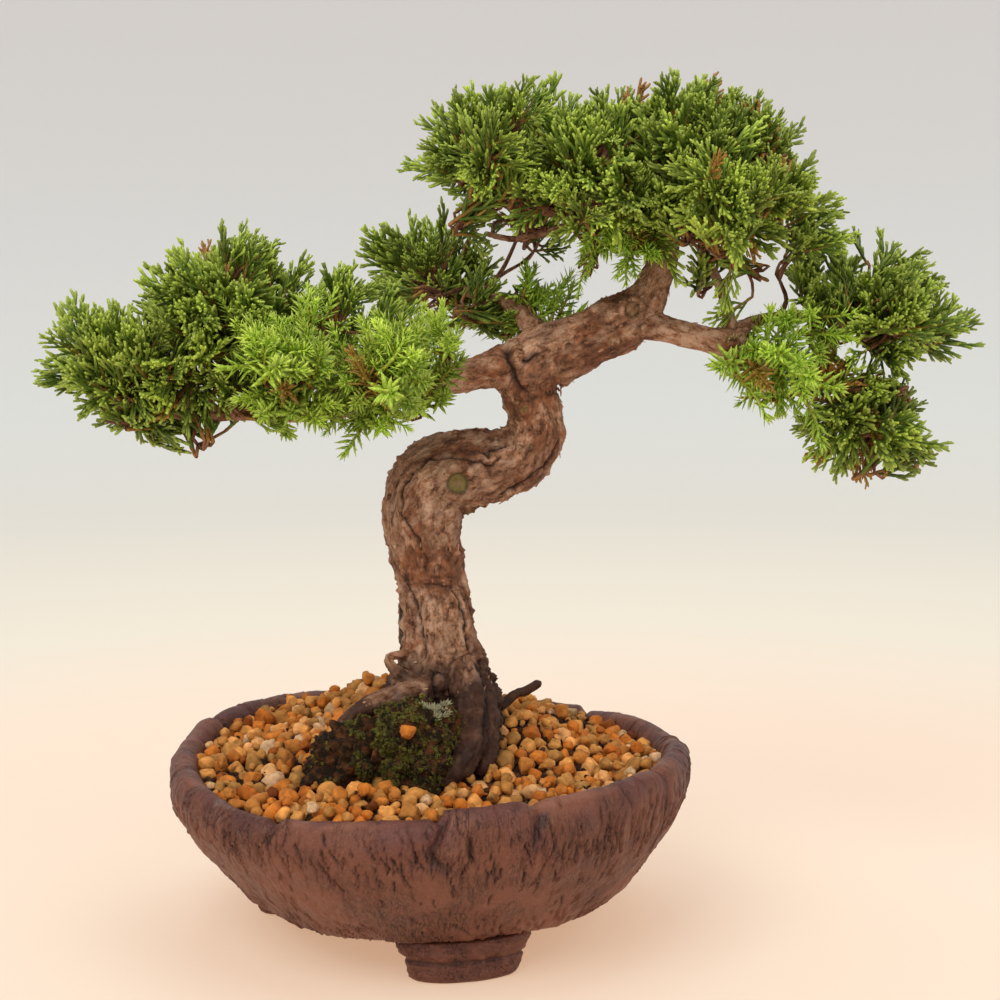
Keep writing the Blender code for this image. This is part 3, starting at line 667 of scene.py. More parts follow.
def clay_material(settings):
    """Unglazed clay with painted shade: dark in the grooves and hair cracks, paler on the ridges as partly
    rubbed clay and partly painted highlight, with fine grit.
    """
    material, tree, shader = new_material("pinched_clay")
    patches, specks, grit = worn_surface(tree, 60.0, 650.0, 1500.0)
    pulled = mark_value(tree, "clay_place", "Vector")
    cracks = 1.0
    for size, spread in (((0.42, 0.42, 0.11), 0.010), ((0.9, 0.9, 0.30), 0.012)):
        line = cloud(tree, stretched(tree, pulled, size), 1.0, 3.0, 0.55, 0.6)
        line = calculate(tree, "ABSOLUTE", calculate(tree, "SUBTRACT", line, 0.5))
        cracks = calculate(tree, "MULTIPLY", cracks, ramp(tree, line, [(0.004, 0.0), (spread, 1.0)]))
    here = ramp(tree, patches, [(0.25, 0.9), (0.60, 0.0)])
    open_cracks = calculate(tree, "MULTIPLY", calculate(tree, "SUBTRACT", 1.0, cracks), here)
    # The relief mark paints shade and highlight: low relief gets the dark hollow colour as painted shade, and
    # high relief gets the paler ridge colour.
    height = mark_value(tree, "relief_shade_and_wear")
    base = ramp(tree, height, [(0.10, 0.0), (0.50, 1.0)])
    base = blend_colour(tree, base, settings.clay_hollow_shade, settings.clay)
    base = blend_colour(tree, ramp(tree, height, [(0.62, 0.0), (1.0, 0.8)]), base, settings.clay_ridge_wear_and_highlight)
    base = blend_colour(tree, scaled(tree, mark_value(tree, "lip"), 0.9), base, settings.clay_lip)
    base = blend_colour(tree, 1.0, base, ramp(tree, patches, [(0.0, 0.80), (1.0, 1.16)]), "MULTIPLY")
    # Hair cracks get the painted-shade hollow colour.
    base = blend_colour(tree, scaled(tree, open_cracks, 0.75), base, settings.clay_hollow_shade)
    scuff = calculate(tree, "MULTIPLY", mark_value(tree, "scuff"), patches, clamp=True)
    base = blend_colour(tree, scuff, base, settings.scuff)
    base = blend_colour(tree, scaled(tree, specks, 0.05), base, settings.scuff)
    dress(tree, shader, base, ramp(tree, grit, [(0.2, 0.56), (0.8, 0.34)]), 0.42,
          calculate(tree, "SUBTRACT", grit, scaled(tree, open_cracks, 1.2)), 0.0004)
    return material


def bark_material(settings, name="flaking_bark", amount=1.0):
    """Flaking juniper bark: red-brown under an amount of grey-pink plates, black in the cracks, with painted
    shade in its pits and hollows.
    """
    material, tree, shader = new_material(name)
    grain = mark_value(tree, "grain", "Vector")
    place = object_place(tree)
    _, specks, fine = worn_surface(tree, 230.0, 1400.0, 2600.0)
    fibres = cloud(tree, stretched(tree, grain, (0.55, 0.55, 0.27)), 1.0, 7.0, 0.68, 0.3)
    dashes = cloud(tree, stretched(tree, grain, (0.45, 0.45, 1.5)), 1.0, 3.0, 0.6)
    dashes = ramp(tree, dashes, [(0.64, 0.0), (0.70, 0.6)])
    plates = cloud(tree, place, 80.0, 6.0, 0.66, 0.5)
    base = ramp(tree, fibres, [(0.33, settings.bark_dark), (0.45, settings.bark), (0.58, settings.bark_red),
                               (0.74, settings.bark_pale)])
    plates = ramp(tree, plates, [(0.42, 0.0), (0.50, 0.95 * amount)])
    plates = calculate(tree, "ADD", plates, mark_value(tree, "bare"), clamp=True)
    skin = ramp(tree, fibres, [(0.27, settings.bark_dark), (0.36, settings.bark), (0.47, settings.bark_pale),
                               (0.60, settings.bark_grey)])
    base = blend_colour(tree, plates, base, skin)
    base = blend_colour(tree, dashes, base, settings.bark_dark)
    scales = stretched(tree, grain, (0.42, 0.42, 0.20))
    bent = cloud(tree, grain, 0.9, 3.0, output="Color")
    scales = on_axes(tree, "ADD", scales, on_axes(tree, "MULTIPLY", bent, (0.9, 0.9, 0.9)))
    seams = add_node(tree, "ShaderNodeTexVoronoi", {"Vector": scales, "Scale": 1.0},
                     feature="DISTANCE_TO_EDGE")
    seams = ramp(tree, seams.outputs["Distance"], [(0.012, 0.75), (0.045, 0.0)])
    seams = calculate(tree, "MULTIPLY", seams, ramp(tree, fibres, [(0.40, 1.0), (0.56, 0.15)]))
    base = blend_colour(tree, seams, base, settings.bark_dark)
    base = blend_colour(tree, scaled(tree, specks, 0.55), base, settings.bark_dark)
    # The crack mark is partly cracks and partly painted shade in pits, hollows and the gaps between plates,
    # all in the near-black crack colour.
    marks = {"low": settings.bark_dark, "scar": settings.cut_wood, "crack": settings.bark_crack}
    for mark, colour in marks.items():
        base = blend_colour(tree, mark_value(tree, mark), base, colour)
    roughness = ramp(tree, fibres, [(0.3, 0.80), (0.7, 0.50)])
    relief = calculate(tree, "ADD", fibres, scaled(tree, fine, 0.5))
    relief = calculate(tree, "SUBTRACT", relief, scaled(tree, seams, 0.5))
    dress(tree, shader, base, roughness, 0.35, relief, 0.0005)
    return material


def leaf_material(name, settings, leaf_light=1.0, tip_light=1.0):
    """Juniper leaf with its overlapping scales, pale new tips and brown old stalks."""
    material, tree, shader = new_material(name)
    colour = add_node(tree, "ShaderNodeGroup", {
        **{socket: mark_value(tree, socket.lower()) for socket in ("Tip", "Tone", "Old", "Yellow")},
        "Leaf": (*(c * leaf_light for c in settings.leaf), 1.0),
        "New growth": (*(c * tip_light for c in settings.new_growth), 1.0),
        "Wood": (*settings.stalk, 1.0),
    }, node_tree=shoot_colour_group()).outputs["Colour"]
    scales = add_node(tree, "ShaderNodeTexVoronoi", {"Vector": object_place(tree), "Scale": 1500.0})
    scales = scales.outputs["Distance"]
    edge = ramp(tree, scales, [(0.25, 1.08), (0.75, 0.78)])
    dress(tree, shader, blend_colour(tree, 1.0, colour, edge, "MULTIPLY"),
          ramp(tree, mark_value(tree, "tip"), [(0.0, 0.62), (1.0, 0.46)]), 0.38, scales, 0.00018, 0.6)
    return material


def grain_material(settings):
    """Fired clay grains: every grain its own ochre, rust or cream, dusty and pitted."""
    material, tree, shader = new_material("ochre_grains")
    patches, specks, fine = worn_surface(tree, 420.0, 1600.0, 2400.0)
    base = ramp(tree, mark_value(tree, "tone"), [
        (0.0, settings.grain_dark), (0.22, settings.grain), (0.48, settings.grain_tan),
        (0.72, settings.grain_light), (1.0, settings.grain_pale)])
    base = blend_colour(tree, 1.0, base, ramp(tree, patches, [(0.0, 0.58), (1.0, 1.25)]), "MULTIPLY")
    base = blend_colour(tree, scaled(tree, specks, 0.45), base, settings.grain_dark)
    dress(tree, shader, base, ramp(tree, fine, [(0.2, 0.95), (0.8, 0.75)]), 0.25, fine, 0.0003, 0.8)
    return material


def earth_material(name, dark, light, patch=260.0):
    """Crumbly earth or matted moss: dark, with lighter crumbs."""
    material, tree, shader = new_material(name)
    patches, specks, fine = worn_surface(tree, patch, 1500.0, 1900.0)
    base = blend_colour(tree, ramp(tree, patches, [(0.35, 0.0), (0.95, 1.0)]), dark, light)
    base = blend_colour(tree, scaled(tree, specks, 0.5), base, light)
    dress(tree, shader, base, ramp(tree, fine, [(0.2, 1.0), (0.8, 0.8)]), 0.2, fine, 0.0006)
    return material


def moss_leaf_material(settings):
    """Tiny moss leaves, from olive to rust by their tone."""
    material, tree, shader = new_material("moss_leaves")
    tone = mark_value(tree, "tone")
    patches, _, _ = worn_surface(tree, 300.0, 1500.0, 2500.0)
    base = ramp(tree, tone, [(0.0, settings.moss_dark), (0.45, settings.moss_olive),
                             (0.8, settings.moss_rust), (1.0, settings.lichen)])
    shade = ramp(tree, patches, [(0.0, 0.6), (1.0, 1.2)])
    tree.links.new(blend_colour(tree, 1.0, base, shade, "MULTIPLY"), shader.inputs["Base Color"])
    shader.inputs["Roughness"].default_value = 0.85
    return material


def small_part_material(name, dark, light, roughness, metallic, patch):
    """Moulded mesh or drawn wire, scratched and dulled in patches."""
    material, tree, shader = new_material(name)
    patches, _, fine = worn_surface(tree, patch, 2200.0, 3200.0)
    base = blend_colour(tree, patches, dark, light)
    dress(tree, shader, base, ramp(tree, fine, [(0.2, roughness - 0.12), (0.8, roughness + 0.12)]), 0.5,
          fine, 0.00008, 0.5)
    shader.inputs["Metallic"].default_value = metallic
    return material


# ---------------------------------------------------------------- settings

def colour_setting(name, description, default):
    """A colour in the settings."""
    return FloatVectorProperty(name=name, description=description, default=default, size=3, min=0.0, max=1.0,
                               subtype="COLOR")


def length_setting(name, description, default):
    """A length in the settings, in metres."""
    return FloatProperty(name=name, description=description, unit="LENGTH", default=default)


class PotSettings(bpy.types.PropertyGroup):
    """Sizes and colours of the bowl and its feet."""

    rim_radius: length_setting(
        "Rim radius", "Radius of the bowl at its widest", (BOWL_HIGH.y - BOWL_LOW.y) / 2)
    groove_count: IntProperty(
        name="Grooves", description="Tool grooves pulled down the wall", default=2600, min=0)
    groove_depth: length_setting("Groove depth", "Depth of the deepest grooves", 0.0011)
    clay: colour_setting("Clay", "Clay on the flat of the wall", (0.166, 0.052, 0.026))
    # Ridge clay is partly rubbed clay and partly painted highlight; hollow clay is painted shade in the
    # grooves and hair cracks.
    clay_ridge_wear_and_highlight: colour_setting("Clay ridges", "Clay where it is rubbed", (0.330, 0.140, 0.092))
    clay_hollow_shade: colour_setting("Clay hollows", "Clay deep in the grooves", (0.045, 0.013, 0.008))
    clay_lip: colour_setting("Clay lip", "Clay along the rim", (0.108, 0.032, 0.024))
    scuff: colour_setting("Scuff", "Lime scuffed onto the rim", (0.62, 0.48, 0.42))


class DressingSettings(bpy.types.PropertyGroup):
    """Sizes and colours of the grains, the soil and the moss."""

    grain_size: length_setting("Grain size", "Middle diameter of a grain", 0.0041)
    grain_count: IntProperty(name="Grains", description="Most grains that are laid", default=1700, min=50)
    grain: colour_setting("Grain", "Most grains", (0.680, 0.205, 0.024))
    grain_tan: colour_setting("Tan grain", "Dull tan grains", (0.430, 0.215, 0.055))
    grain_light: colour_setting("Light grain", "Lighter grains", (0.900, 0.390, 0.090))
    grain_pale: colour_setting("Pale grain", "Cream grains", (0.740, 0.470, 0.250))
    grain_dark: colour_setting("Dark grain", "Rust grains", (0.170, 0.036, 0.005))
    soil: colour_setting("Soil", "Damp soil", (0.028, 0.012, 0.006))
    soil_light: colour_setting("Dry soil", "Drier crumbs", (0.110, 0.052, 0.026))
    moss_dark: colour_setting("Dark moss", "Old moss", (0.014, 0.008, 0.003))
    moss_olive: colour_setting("Moss", "Living moss", (0.190, 0.180, 0.014))
    moss_rust: colour_setting("Rust moss", "Dried moss", (0.130, 0.045, 0.014))
    lichen: colour_setting("Lichen", "Lichen tuft", (0.360, 0.330, 0.190))


class WoodSettings(bpy.types.PropertyGroup):
    """Sizes and colours of the bark."""

    skin_step: length_setting("Skin step", "Size of the faces of the bark", 0.00046)
    plate_depth: length_setting("Plate depth", "Thickness of the bark's plates", 0.00055)
    bark: colour_setting("Bark", "Bark on the flat", (0.210, 0.080, 0.036))
    bark_red: colour_setting("Red bark", "Young red bark", (0.320, 0.110, 0.042))
    bark_pale: colour_setting("Pale bark", "Weathered bark", (0.430, 0.208, 0.110))
    bark_grey: colour_setting("Grey bark", "Oldest plates", (0.590, 0.360, 0.236))
    bark_dark: colour_setting("Dark bark", "Between the plates", (0.052, 0.017, 0.007))
    # Near black for the cracks and for the painted shade in pits, hollows and the gaps between plates.
    bark_crack: colour_setting("Cracks", "Inside the cracks", (0.012, 0.005, 0.003))
    cut_wood: colour_setting("Cut wood", "Healed cuts", (0.300, 0.250, 0.070))


class FoliageSettings(bpy.types.PropertyGroup):
    """Sizes and colours of the foliage."""

    cord_radius: length_setting("Branchlet radius", "Radius of a scaly branchlet", 0.00045)
    needle_length: length_setting("Needle length", "Length of a young needle", 0.0052)
    leaf: colour_setting("Leaf", "Leaf low on a shoot", (0.094, 0.160, 0.012))
    new_growth: colour_setting("New growth", "Leaf at the tips", (0.400, 0.510, 0.065))
    stalk: colour_setting("Stalk", "Old stalks", (0.420, 0.165, 0.036))


class StageSettings(bpy.types.PropertyGroup):
    """The floor, the lights and the camera."""

    cove_radius: length_setting("Cove radius", "Radius of the backdrop", 1.35)
    paper: colour_setting("Paper", "The paper itself", (0.46, 0.49, 0.46))
    # The glow colours below are painted light: the paper emits light in place of the lamps' light on it,
    # graded from under the pot up to the top of the backdrop.
    floor: colour_setting("Floor glow", "Glow of the paper under the pot", (0.530, 0.322, 0.200))
    far_floor: colour_setting("Far glow", "Glow of the paper behind the pot", (0.450, 0.362, 0.262))
    bend: colour_setting("Bend glow", "Glow where the paper bends up", (0.340, 0.338, 0.335))
    wall: colour_setting("Backdrop glow", "Glow of the paper at the top", (0.252, 0.220, 0.240))
    # Strength of the painted light that the paper emits.
    glow: FloatProperty(
        name="Glow", description="Strength of the glow through the paper", default=1.0, min=0.0)
    key_power: FloatProperty(
        name="Key light", description="Power of the main lamp", unit="POWER", default=8.8)
    camera_distance: length_setting("Camera distance", "From the pot's axis to the camera", 0.450)


# ---------------------------------------------------------------- pot

def rim_lift(angle):
    """How far the hand-made rim stands above or below its mean height at these angles."""
    lift = RIM_WAVE * np.cos(2 * (angle - math.radians(140))) + RIM_RIPPLE * np.cos(5 * angle + 0.6)
    for degrees, width, rise in RIM_HANDS:
        away = turned_from(angle, math.radians(degrees))
        lift += rise * np.exp(-(away / math.radians(width)) ** 2)
    for degrees, width, _, step, _ in RIM_FOLDS:
        away = turned_from(angle, math.radians(degrees))
        lift += step * 0.5 * np.exp(-(away / 0.16) ** 2) * np.tanh(away / math.radians(width) * 1.5)
        lift -= 0.9 * np.exp(-(away / math.radians(width * 1.3)) ** 2)
    return lift


def bowl_rows():
    """The bowl's profile as close rows, closest where the wall is seen."""
    profile = np.array(BOWL_PROFILE)
    fine = smooth_path(np.column_stack([profile[:, 0], np.zeros(len(profile)), profile[:, 1:]]), 0.25)
    fine = np.delete(fine, 1, axis=1)
    length = np.concatenate([[0], np.cumsum(np.linalg.norm(np.diff(fine[:, :2], axis=0), axis=1))])
    fineness = np.where(fine[:, 3] > 0.35, 1 / 0.60, 1 / 5.0)
    spent = np.concatenate([[0], np.cumsum(np.diff(length) * (fineness[1:] + fineness[:-1]) / 2)])
    at = np.interp(np.linspace(0, spent[-1], BOWL_ROWS), spent, length)
    return np.column_stack([np.interp(at, length, fine[:, k]) for k in range(4)] + [at])


def stamp_grooves(relief, rows, angles, settings, rng):
    """Presses long tool grooves into the wall, most of them running up and down it."""
    arc = rows[:, 4]
    worked = np.flatnonzero(rows[:, 3] > 0.5)
    near_rim, near_base = (np.exp(-((rows[worked, 1] - height) / 5) ** 2) for height in (38, 13))
    likely = 0.35 + 3.6 * near_rim + 2.4 * near_base
    likely /= likely.sum()
    for _ in range(settings.groove_count):
        row = rng.choice(worked, p=likely)
        radius = rows[row, 0]
        centre = rng.uniform(0, 2 * math.pi)
        half_length = rng.uniform(0.8, 3.6) * (1.6 if rows[row, 1] > 30 else 1.0)
        half_width = rng.uniform(0.15, 0.28)
        tilt = rng.normal(0, 0.22) + 0.18 * math.sin(centre * 3) + (0.35 if rows[row, 1] < 22 else 0.0)
        depth = settings.groove_depth / MM * rng.uniform(0.25, 1.0) ** 1.5
        span = half_length + 1.5
        near_rows = np.flatnonzero(np.abs(arc - arc[row]) < span)
        turn = turned_from(angles, centre)
        near_columns = np.flatnonzero(np.abs(turn) * radius < span)
        up = (arc[near_rows] - arc[row])[:, None]
        across = (turn[near_columns] * radius)[None, :] + up * math.tan(tilt)
        across = across + 0.3 * np.sin(up * 0.9 + centre * 7)
        ends = soft_step(0, 1, 1.6 * (1 - np.abs(up) / half_length))
        groove = np.exp(-(across / half_width) ** 2) * ends
        lip = np.exp(-((across - half_width * 1.9) / (half_width * 0.8)) ** 2) * ends
        window = np.ix_(near_rows, near_columns)
        relief[window] += lip * depth * 0.35 - groove * depth


def build_bowl(settings):
    """The pinched bowl with its folded rim, pulled grooves and ridges."""
    rng = np.random.default_rng(11)
    rows, angles = bowl_rows(), full_turn(BOWL_COLUMNS)
    grow = settings.rim_radius / MM / BOWL_RADIUS
    radius, height, wave, worked, arc = (rows[:, k][:, None] for k in range(5))
    turn = np.broadcast_to(angles, (len(rows), BOWL_COLUMNS))
    shape = turn.shape
    # The wall unrolled, so that marks in the clay can be longer up the wall than across it.
    wall = np.stack([np.cos(turn) * BOWL_RADIUS, np.sin(turn) * BOWL_RADIUS, np.broadcast_to(arc, shape)], -1)
    wall = wall.reshape(-1, 3)
    fibres = (ridges(wall / (1.7, 1.7, 8.0), 3) ** 3).reshape(shape)
    fine = (ridges(wall / (0.95, 0.95, 4.5), 5) ** 2).reshape(shape)
    dents = layered_noise(wall / (13, 13, 11), 7, 2).reshape(shape)
    bulges = noise(wall / (34, 34, 30), 9).reshape(shape)
    knocks = layered_noise(wall / (3.4, 3.4, 3.8), 23, 2).reshape(shape)
    pores = layered_noise(wall / 1.3, 25, 2).reshape(shape)
    patchy = soft_step(-0.5, 0.4, noise(wall / (11, 11, 9), 13)).reshape(shape)
    relief = (fibres * 0.24 * (0.15 + 0.85 * patchy) + fine * 0.10 + pores * 0.10) * worked
    stamp_grooves(relief, rows, angles, settings, rng)
    relief *= np.clip(worked * 1.4, 0, 1)
    for degrees, width, depth, _, reach in RIM_FOLDS:
        lean = turned_from(angles, math.radians(degrees))[None, :] + 0.02 * np.sin(arc * 0.5)
        down = np.clip((47 - height) / reach, 0, 1)
        flap = soft_step(0, 1, lean / 0.03) * np.exp(-(lean / 0.12) ** 2)
        relief -= depth * np.exp(-(lean / math.radians(width)) ** 2) * (1 - down) ** 0.7 * worked
        relief += 0.5 * depth * flap * (1 - down) * worked
    slope = np.gradient(rows[:, :2], axis=0)
    outward = unit(np.column_stack([slope[:, 1], -slope[:, 0]]))
    push = relief + (dents * 0.50 + bulges * 1.1 + knocks * 0.22) * worked
    lift = wave * rim_lift(turn)
    pinch = 1.5 * np.exp(-(turned_from(turn, math.radians(190)) / 0.7) ** 2) * worked
    r = (radius + outward[:, :1] * push - pinch) * grow
    z = height + lift + outward[:, 1:] * push
    points = np.stack([r * np.cos(turn), r * np.sin(turn), z], -1).reshape(-1, 3)
    # Painted shade and highlight: the level follows the relief, so grooves get darker clay and ridges get
    # paler clay; the rim's top is lifted towards the ridge colour.
    level = np.clip(0.5 + (relief - np.median(relief)) * 0.55 + 0.12 * dents, 0, 1)
    level = np.maximum(level, soft_step(45.2, 47.6, z - lift) * 0.78)
    scuffs = soft_step(0.15, 0.5, noise(wall / (9, 9, 14), 21)).reshape(shape)
    side = np.exp(-(turned_from(turn, math.radians(214)) / 0.22) ** 2)
    scuff = scuffs * side * soft_step(26, 36, height) * soft_step(0.5, 0.7, level) * 0.8
    lip = soft_step(36, 46, z - lift) * soft_step(-0.6, 0.3, dents)
    marks = {"relief_shade_and_wear": level.ravel(), "scuff": scuff.ravel(), "clay_place": wall, "lip": lip.ravel()}
    faces = ring_faces(len(rows), BOWL_COLUMNS, closed=True)
    add_piece("pinched_bowl", points, [faces], clay_material(settings), ["pot_bowl"], marks)


def signed_power(values, power):
    """A power that keeps the sign, for outlines with soft corners."""
    return np.sign(values) * np.abs(values) ** power


def build_foot(name, degrees, settings, seed):
    """A crescent foot pressed from two layers of clay, with a crease between the layers."""
    top = FOOT_LEVELS[-1][0]
    levels = smooth_path([(a, b, h) for h, a, b in FOOT_LEVELS], 0.02)
    height = np.linspace(0, top, FOOT_ROWS)
    along, across = (np.interp(height, levels[:, 2], levels[:, k])[:, None] for k in range(2))
    turn = full_turn(FOOT_COLUMNS)
    angle = math.radians(degrees) + along * FOOT_HALF_ANGLE * signed_power(np.cos(turn), 0.7)
    radius = FOOT_RADIUS + across * FOOT_HALF_DEPTH * signed_power(np.sin(turn), 0.7)
    skin = np.stack([radius * np.cos(angle), radius * np.sin(angle),
                     np.broadcast_to(height[:, None], radius.shape)], -1)
    middle = skin.mean(axis=1, keepdims=True)
    flat = skin.reshape(-1, 3)
    dents = layered_noise(flat / 3.2, seed, 3).reshape(radius.shape)
    lines = (ridges(flat / (5.0, 5.0, 0.9), seed + 5) ** 3).reshape(radius.shape)
    edge = soft_step(0, 1.0, height)[:, None] * soft_step(0, 1.0, top - height)[:, None]
    push = (dents * 0.35 + lines * 0.35) * (0.25 + 0.75 * edge)
    skin[..., :2] += unit(skin - middle)[..., :2] * push[..., None]
    ring = np.arange(FOOT_COLUMNS)
    first, second = (FOOT_ROWS - 1) * FOOT_COLUMNS + ring, (FOOT_ROWS - 1) * FOOT_COLUMNS + np.roll(ring, -1)
    under, over = (np.full(FOOT_COLUMNS, skin[..., 0].size + k) for k in range(2))
    caps = np.vstack([
        np.column_stack([np.roll(ring, -1), ring, under]), np.column_stack([first, second, over])])
    points = np.vstack([skin.reshape(-1, 3), skin[0].mean(axis=0), skin[-1].mean(axis=0)])
    # Painted shade: the crease between the two layers is darkened, and raised lumps are made paler.
    crease = np.exp(-((height - FOOT_CREASE) / 0.5) ** 2)[:, None]
    level = np.clip(0.42 + push * 0.5 - crease * 0.4, 0, 1)
    marks = {"relief_shade_and_wear": np.concatenate([level.ravel(), [0.4, 0.4]]), "scuff": np.zeros(len(points)),
             "clay_place": points * (1.0, 1.0, 3.0), "lip": np.full(len(points), 0.4)}
    material = bpy.data.materials.get("pinched_clay") or clay_material(settings)
    faces = ring_faces(FOOT_ROWS, FOOT_COLUMNS)
    add_piece("pressed_" + name, points, [faces, caps], material, [name], marks)


# ---------------------------------------------------------------- dressing and moss

def dressing_height(x, y):
    """Height of the grains: level at the rim, heaped up round the trunk."""
    height = np.full(np.shape(x), DRESSING_EDGE)
    for cx, cy, rise, spread in DRESSING_HEAPS:
        height = height + rise * np.exp(-((x - cx) ** 2 + (y - cy) ** 2) / spread ** 2)
    return height


def stone_patterns(rng, count=26):
    """Chipped grains, each with flats, dents and rounded corners."""
    points, faces = ball(2)
    patterns = []
    for number in range(count):
        shape = points * (1 + 0.20 * noise(points * 1.3, 60 + number)[:, None])
        for normal in unit(rng.normal(size=(9, 3))):
            over = shape @ normal - rng.uniform(0.60, 0.90)
            shape = shape - np.outer(np.maximum(over, 0) * 0.85, normal)
        shape *= 1 + 0.10 * noise(points * 3.0, 160 + number)[:, None]
        patterns.append((shape * rng.uniform(0.8, 1.15, 3), faces, {}))
    return patterns


def lay_grains(settings, rng):
    """Places and sizes of the grains: large ones first, then smaller ones in the gaps and on top."""
    half = settings.grain_size / MM / 2
    spots, sizes = [], []
    for low, high, tries, sink in GRAIN_LAYERS:
        for _ in range(tries):
            if len(spots) >= settings.grain_count:
                break
            size = half * rng.uniform(low, high)
            away, turn = 62.3 * math.sqrt(rng.uniform()), rng.uniform(0, 2 * math.pi)
            x, y = away * math.cos(turn), away * math.sin(turn)
            top = float(dressing_height(x, y))
            moss = lobe_level(np.array([[x, y, top + 1.5]]), MOSS_LOBES)[0]
            if away + size * 0.6 > GRAIN_REACH or moss < 0.92:
                continue
            if math.hypot(x - 5, y + 2) < 11.5 or (2 < x < 16 and -25 < y < 0):
                continue
            if any(math.hypot(x - bx, y - by) < br for bx, by, br in BARE_SPOTS) and rng.uniform() < 0.8:
                continue
            z = top - 0.5 * half + sink * half + rng.uniform(-0.5, 0.5)
            spot = np.array([x, y, z])
            if spots:
                gap = np.linalg.norm(np.array(spots) - spot, axis=1) - 0.86 * (np.array(sizes) + size)
                if gap.min() < 0:
                    continue
            spots.append(spot)
            sizes.append(size)
    return np.array(spots + [STRAY_GRAIN[:3]]), np.array(sizes + [STRAY_GRAIN[3]])


def random_turns(rng, count):
    """Two square directions for each of count things."""
    ahead = unit(rng.normal(size=(count, 3)))
    return unit(np.cross(ahead, rng.normal(size=(count, 3)))), ahead


def build_dressing(settings):
    """Loose ochre grains over a bed of dark soil."""
    rng = np.random.default_rng(5)
    spots, sizes = lay_grains(settings, rng)
    patterns = stone_patterns(rng)
    tone = np.clip(rng.beta(2.0, 2.6, len(spots)) + 0.12 * noise(spots / 14, 4), 0, 1)
    tone[rng.uniform(size=len(spots)) < 0.04] = 1.0
    tone[-1] = 0.25
    material = grain_material(settings)
    halves = np.array_split(np.argsort(spots[:, 0]), 2)
    for name, part in zip(("grains_left", "grains_right"), halves):
        sideways, ahead = random_turns(rng, len(part))
        points, faces, marks = place_many(patterns, rng.integers(len(patterns), size=len(part)), spots[part],
                                          sideways, ahead, sizes[part], tone=tone[part])
        add_piece(name, points, [faces], material, ["grain_dressing"], marks)

    rings, columns = 84, 260
    away, turns = np.linspace(0, SOIL_RADIUS, rings), full_turn(columns)
    x, y = away[:, None] * np.cos(turns), away[:, None] * np.sin(turns)
    flat = np.stack([x, y, np.zeros_like(x)], -1).reshape(-1, 3)
    z = dressing_height(x, y) - 1.6 + (layered_noise(flat / 2.6, 31) * 0.7).reshape(x.shape)
    top = np.stack([x, y, z], -1).reshape(-1, 3)
    faces = ring_faces(rings, columns, turned=True)
    under = np.column_stack([
        SOIL_RADIUS * np.cos(turns), SOIL_RADIUS * np.sin(turns), np.full(columns, SOIL_UNDERSIDE)])
    last = (rings - 1) * columns + np.arange(columns)
    below = len(top) + np.arange(columns)
    skirt = np.column_stack([last, below, np.roll(below, -1), np.roll(last, -1)])
    base = np.column_stack([np.roll(below, -1), below, np.full(columns, len(top) + columns)])
    points = np.vstack([top, under, [(0, 0, SOIL_UNDERSIDE)]])
    material = earth_material("damp_soil", settings.soil, settings.soil_light)
    add_piece("soil_bed", points, [np.vstack([faces, skirt]), base], material, ["grain_dressing"])

    crumbs = 900
    turn, out = rng.uniform(0, 2 * math.pi, crumbs), np.sqrt(rng.uniform(size=crumbs)) * 61
    spots = np.column_stack([out * np.cos(turn), out * np.sin(turn)])
    for bx, by, br in BARE_SPOTS:
        extra = rng.normal(size=(160, 2)) * br * 0.5 + (bx, by)
        spots = np.vstack([spots, extra[np.hypot(*extra.T) < 61]])
    root_side = rng.normal(size=(260, 2)) * (8, 7) + (17, -1)
    spots = np.vstack([spots, root_side])
    heights = dressing_height(spots[:, 0], spots[:, 1]) - 1.5 + rng.uniform(-0.5, 1.2, len(spots))
    points, faces = ball(1)
    small = [(points * (1 + 0.3 * noise(points * 2.0, 300 + k)[:, None]), faces, {}) for k in range(10)]
    sideways, ahead = random_turns(rng, len(spots))
    points, faces, _ = place_many(small, rng.integers(10, size=len(spots)), np.column_stack([spots, heights]),
                                  sideways, ahead, rng.uniform(0.35, 1.1, len(spots)))
    add_piece("soil_crumbs", points, [faces], material, ["grain_dressing"])


def moss_skin():
    """The mound's lumpy skin, found by stepping in from outside along every direction."""
    directions, faces = ball(6)
    centre = np.mean([lobe[:3] for lobe in MOSS_LOBES], axis=0)
    reach = np.zeros(len(directions))
    for step in np.arange(24.0, 2.0, -0.25):
        inside = lobe_level(centre + directions * step, MOSS_LOBES) < 1
        reach = np.where((reach == 0) & inside, step, reach)
    skin = centre + directions * reach[:, None]
    lumps = layered_noise(skin / 5.0, 71) * 2.8
    lumps -= ridges(skin / 6.0, 77) ** 4 * 2.6
    lumps += ridges(skin / 1.5, 75) * 0.5
    return centre + directions * (reach + lumps)[:, None], faces, directions


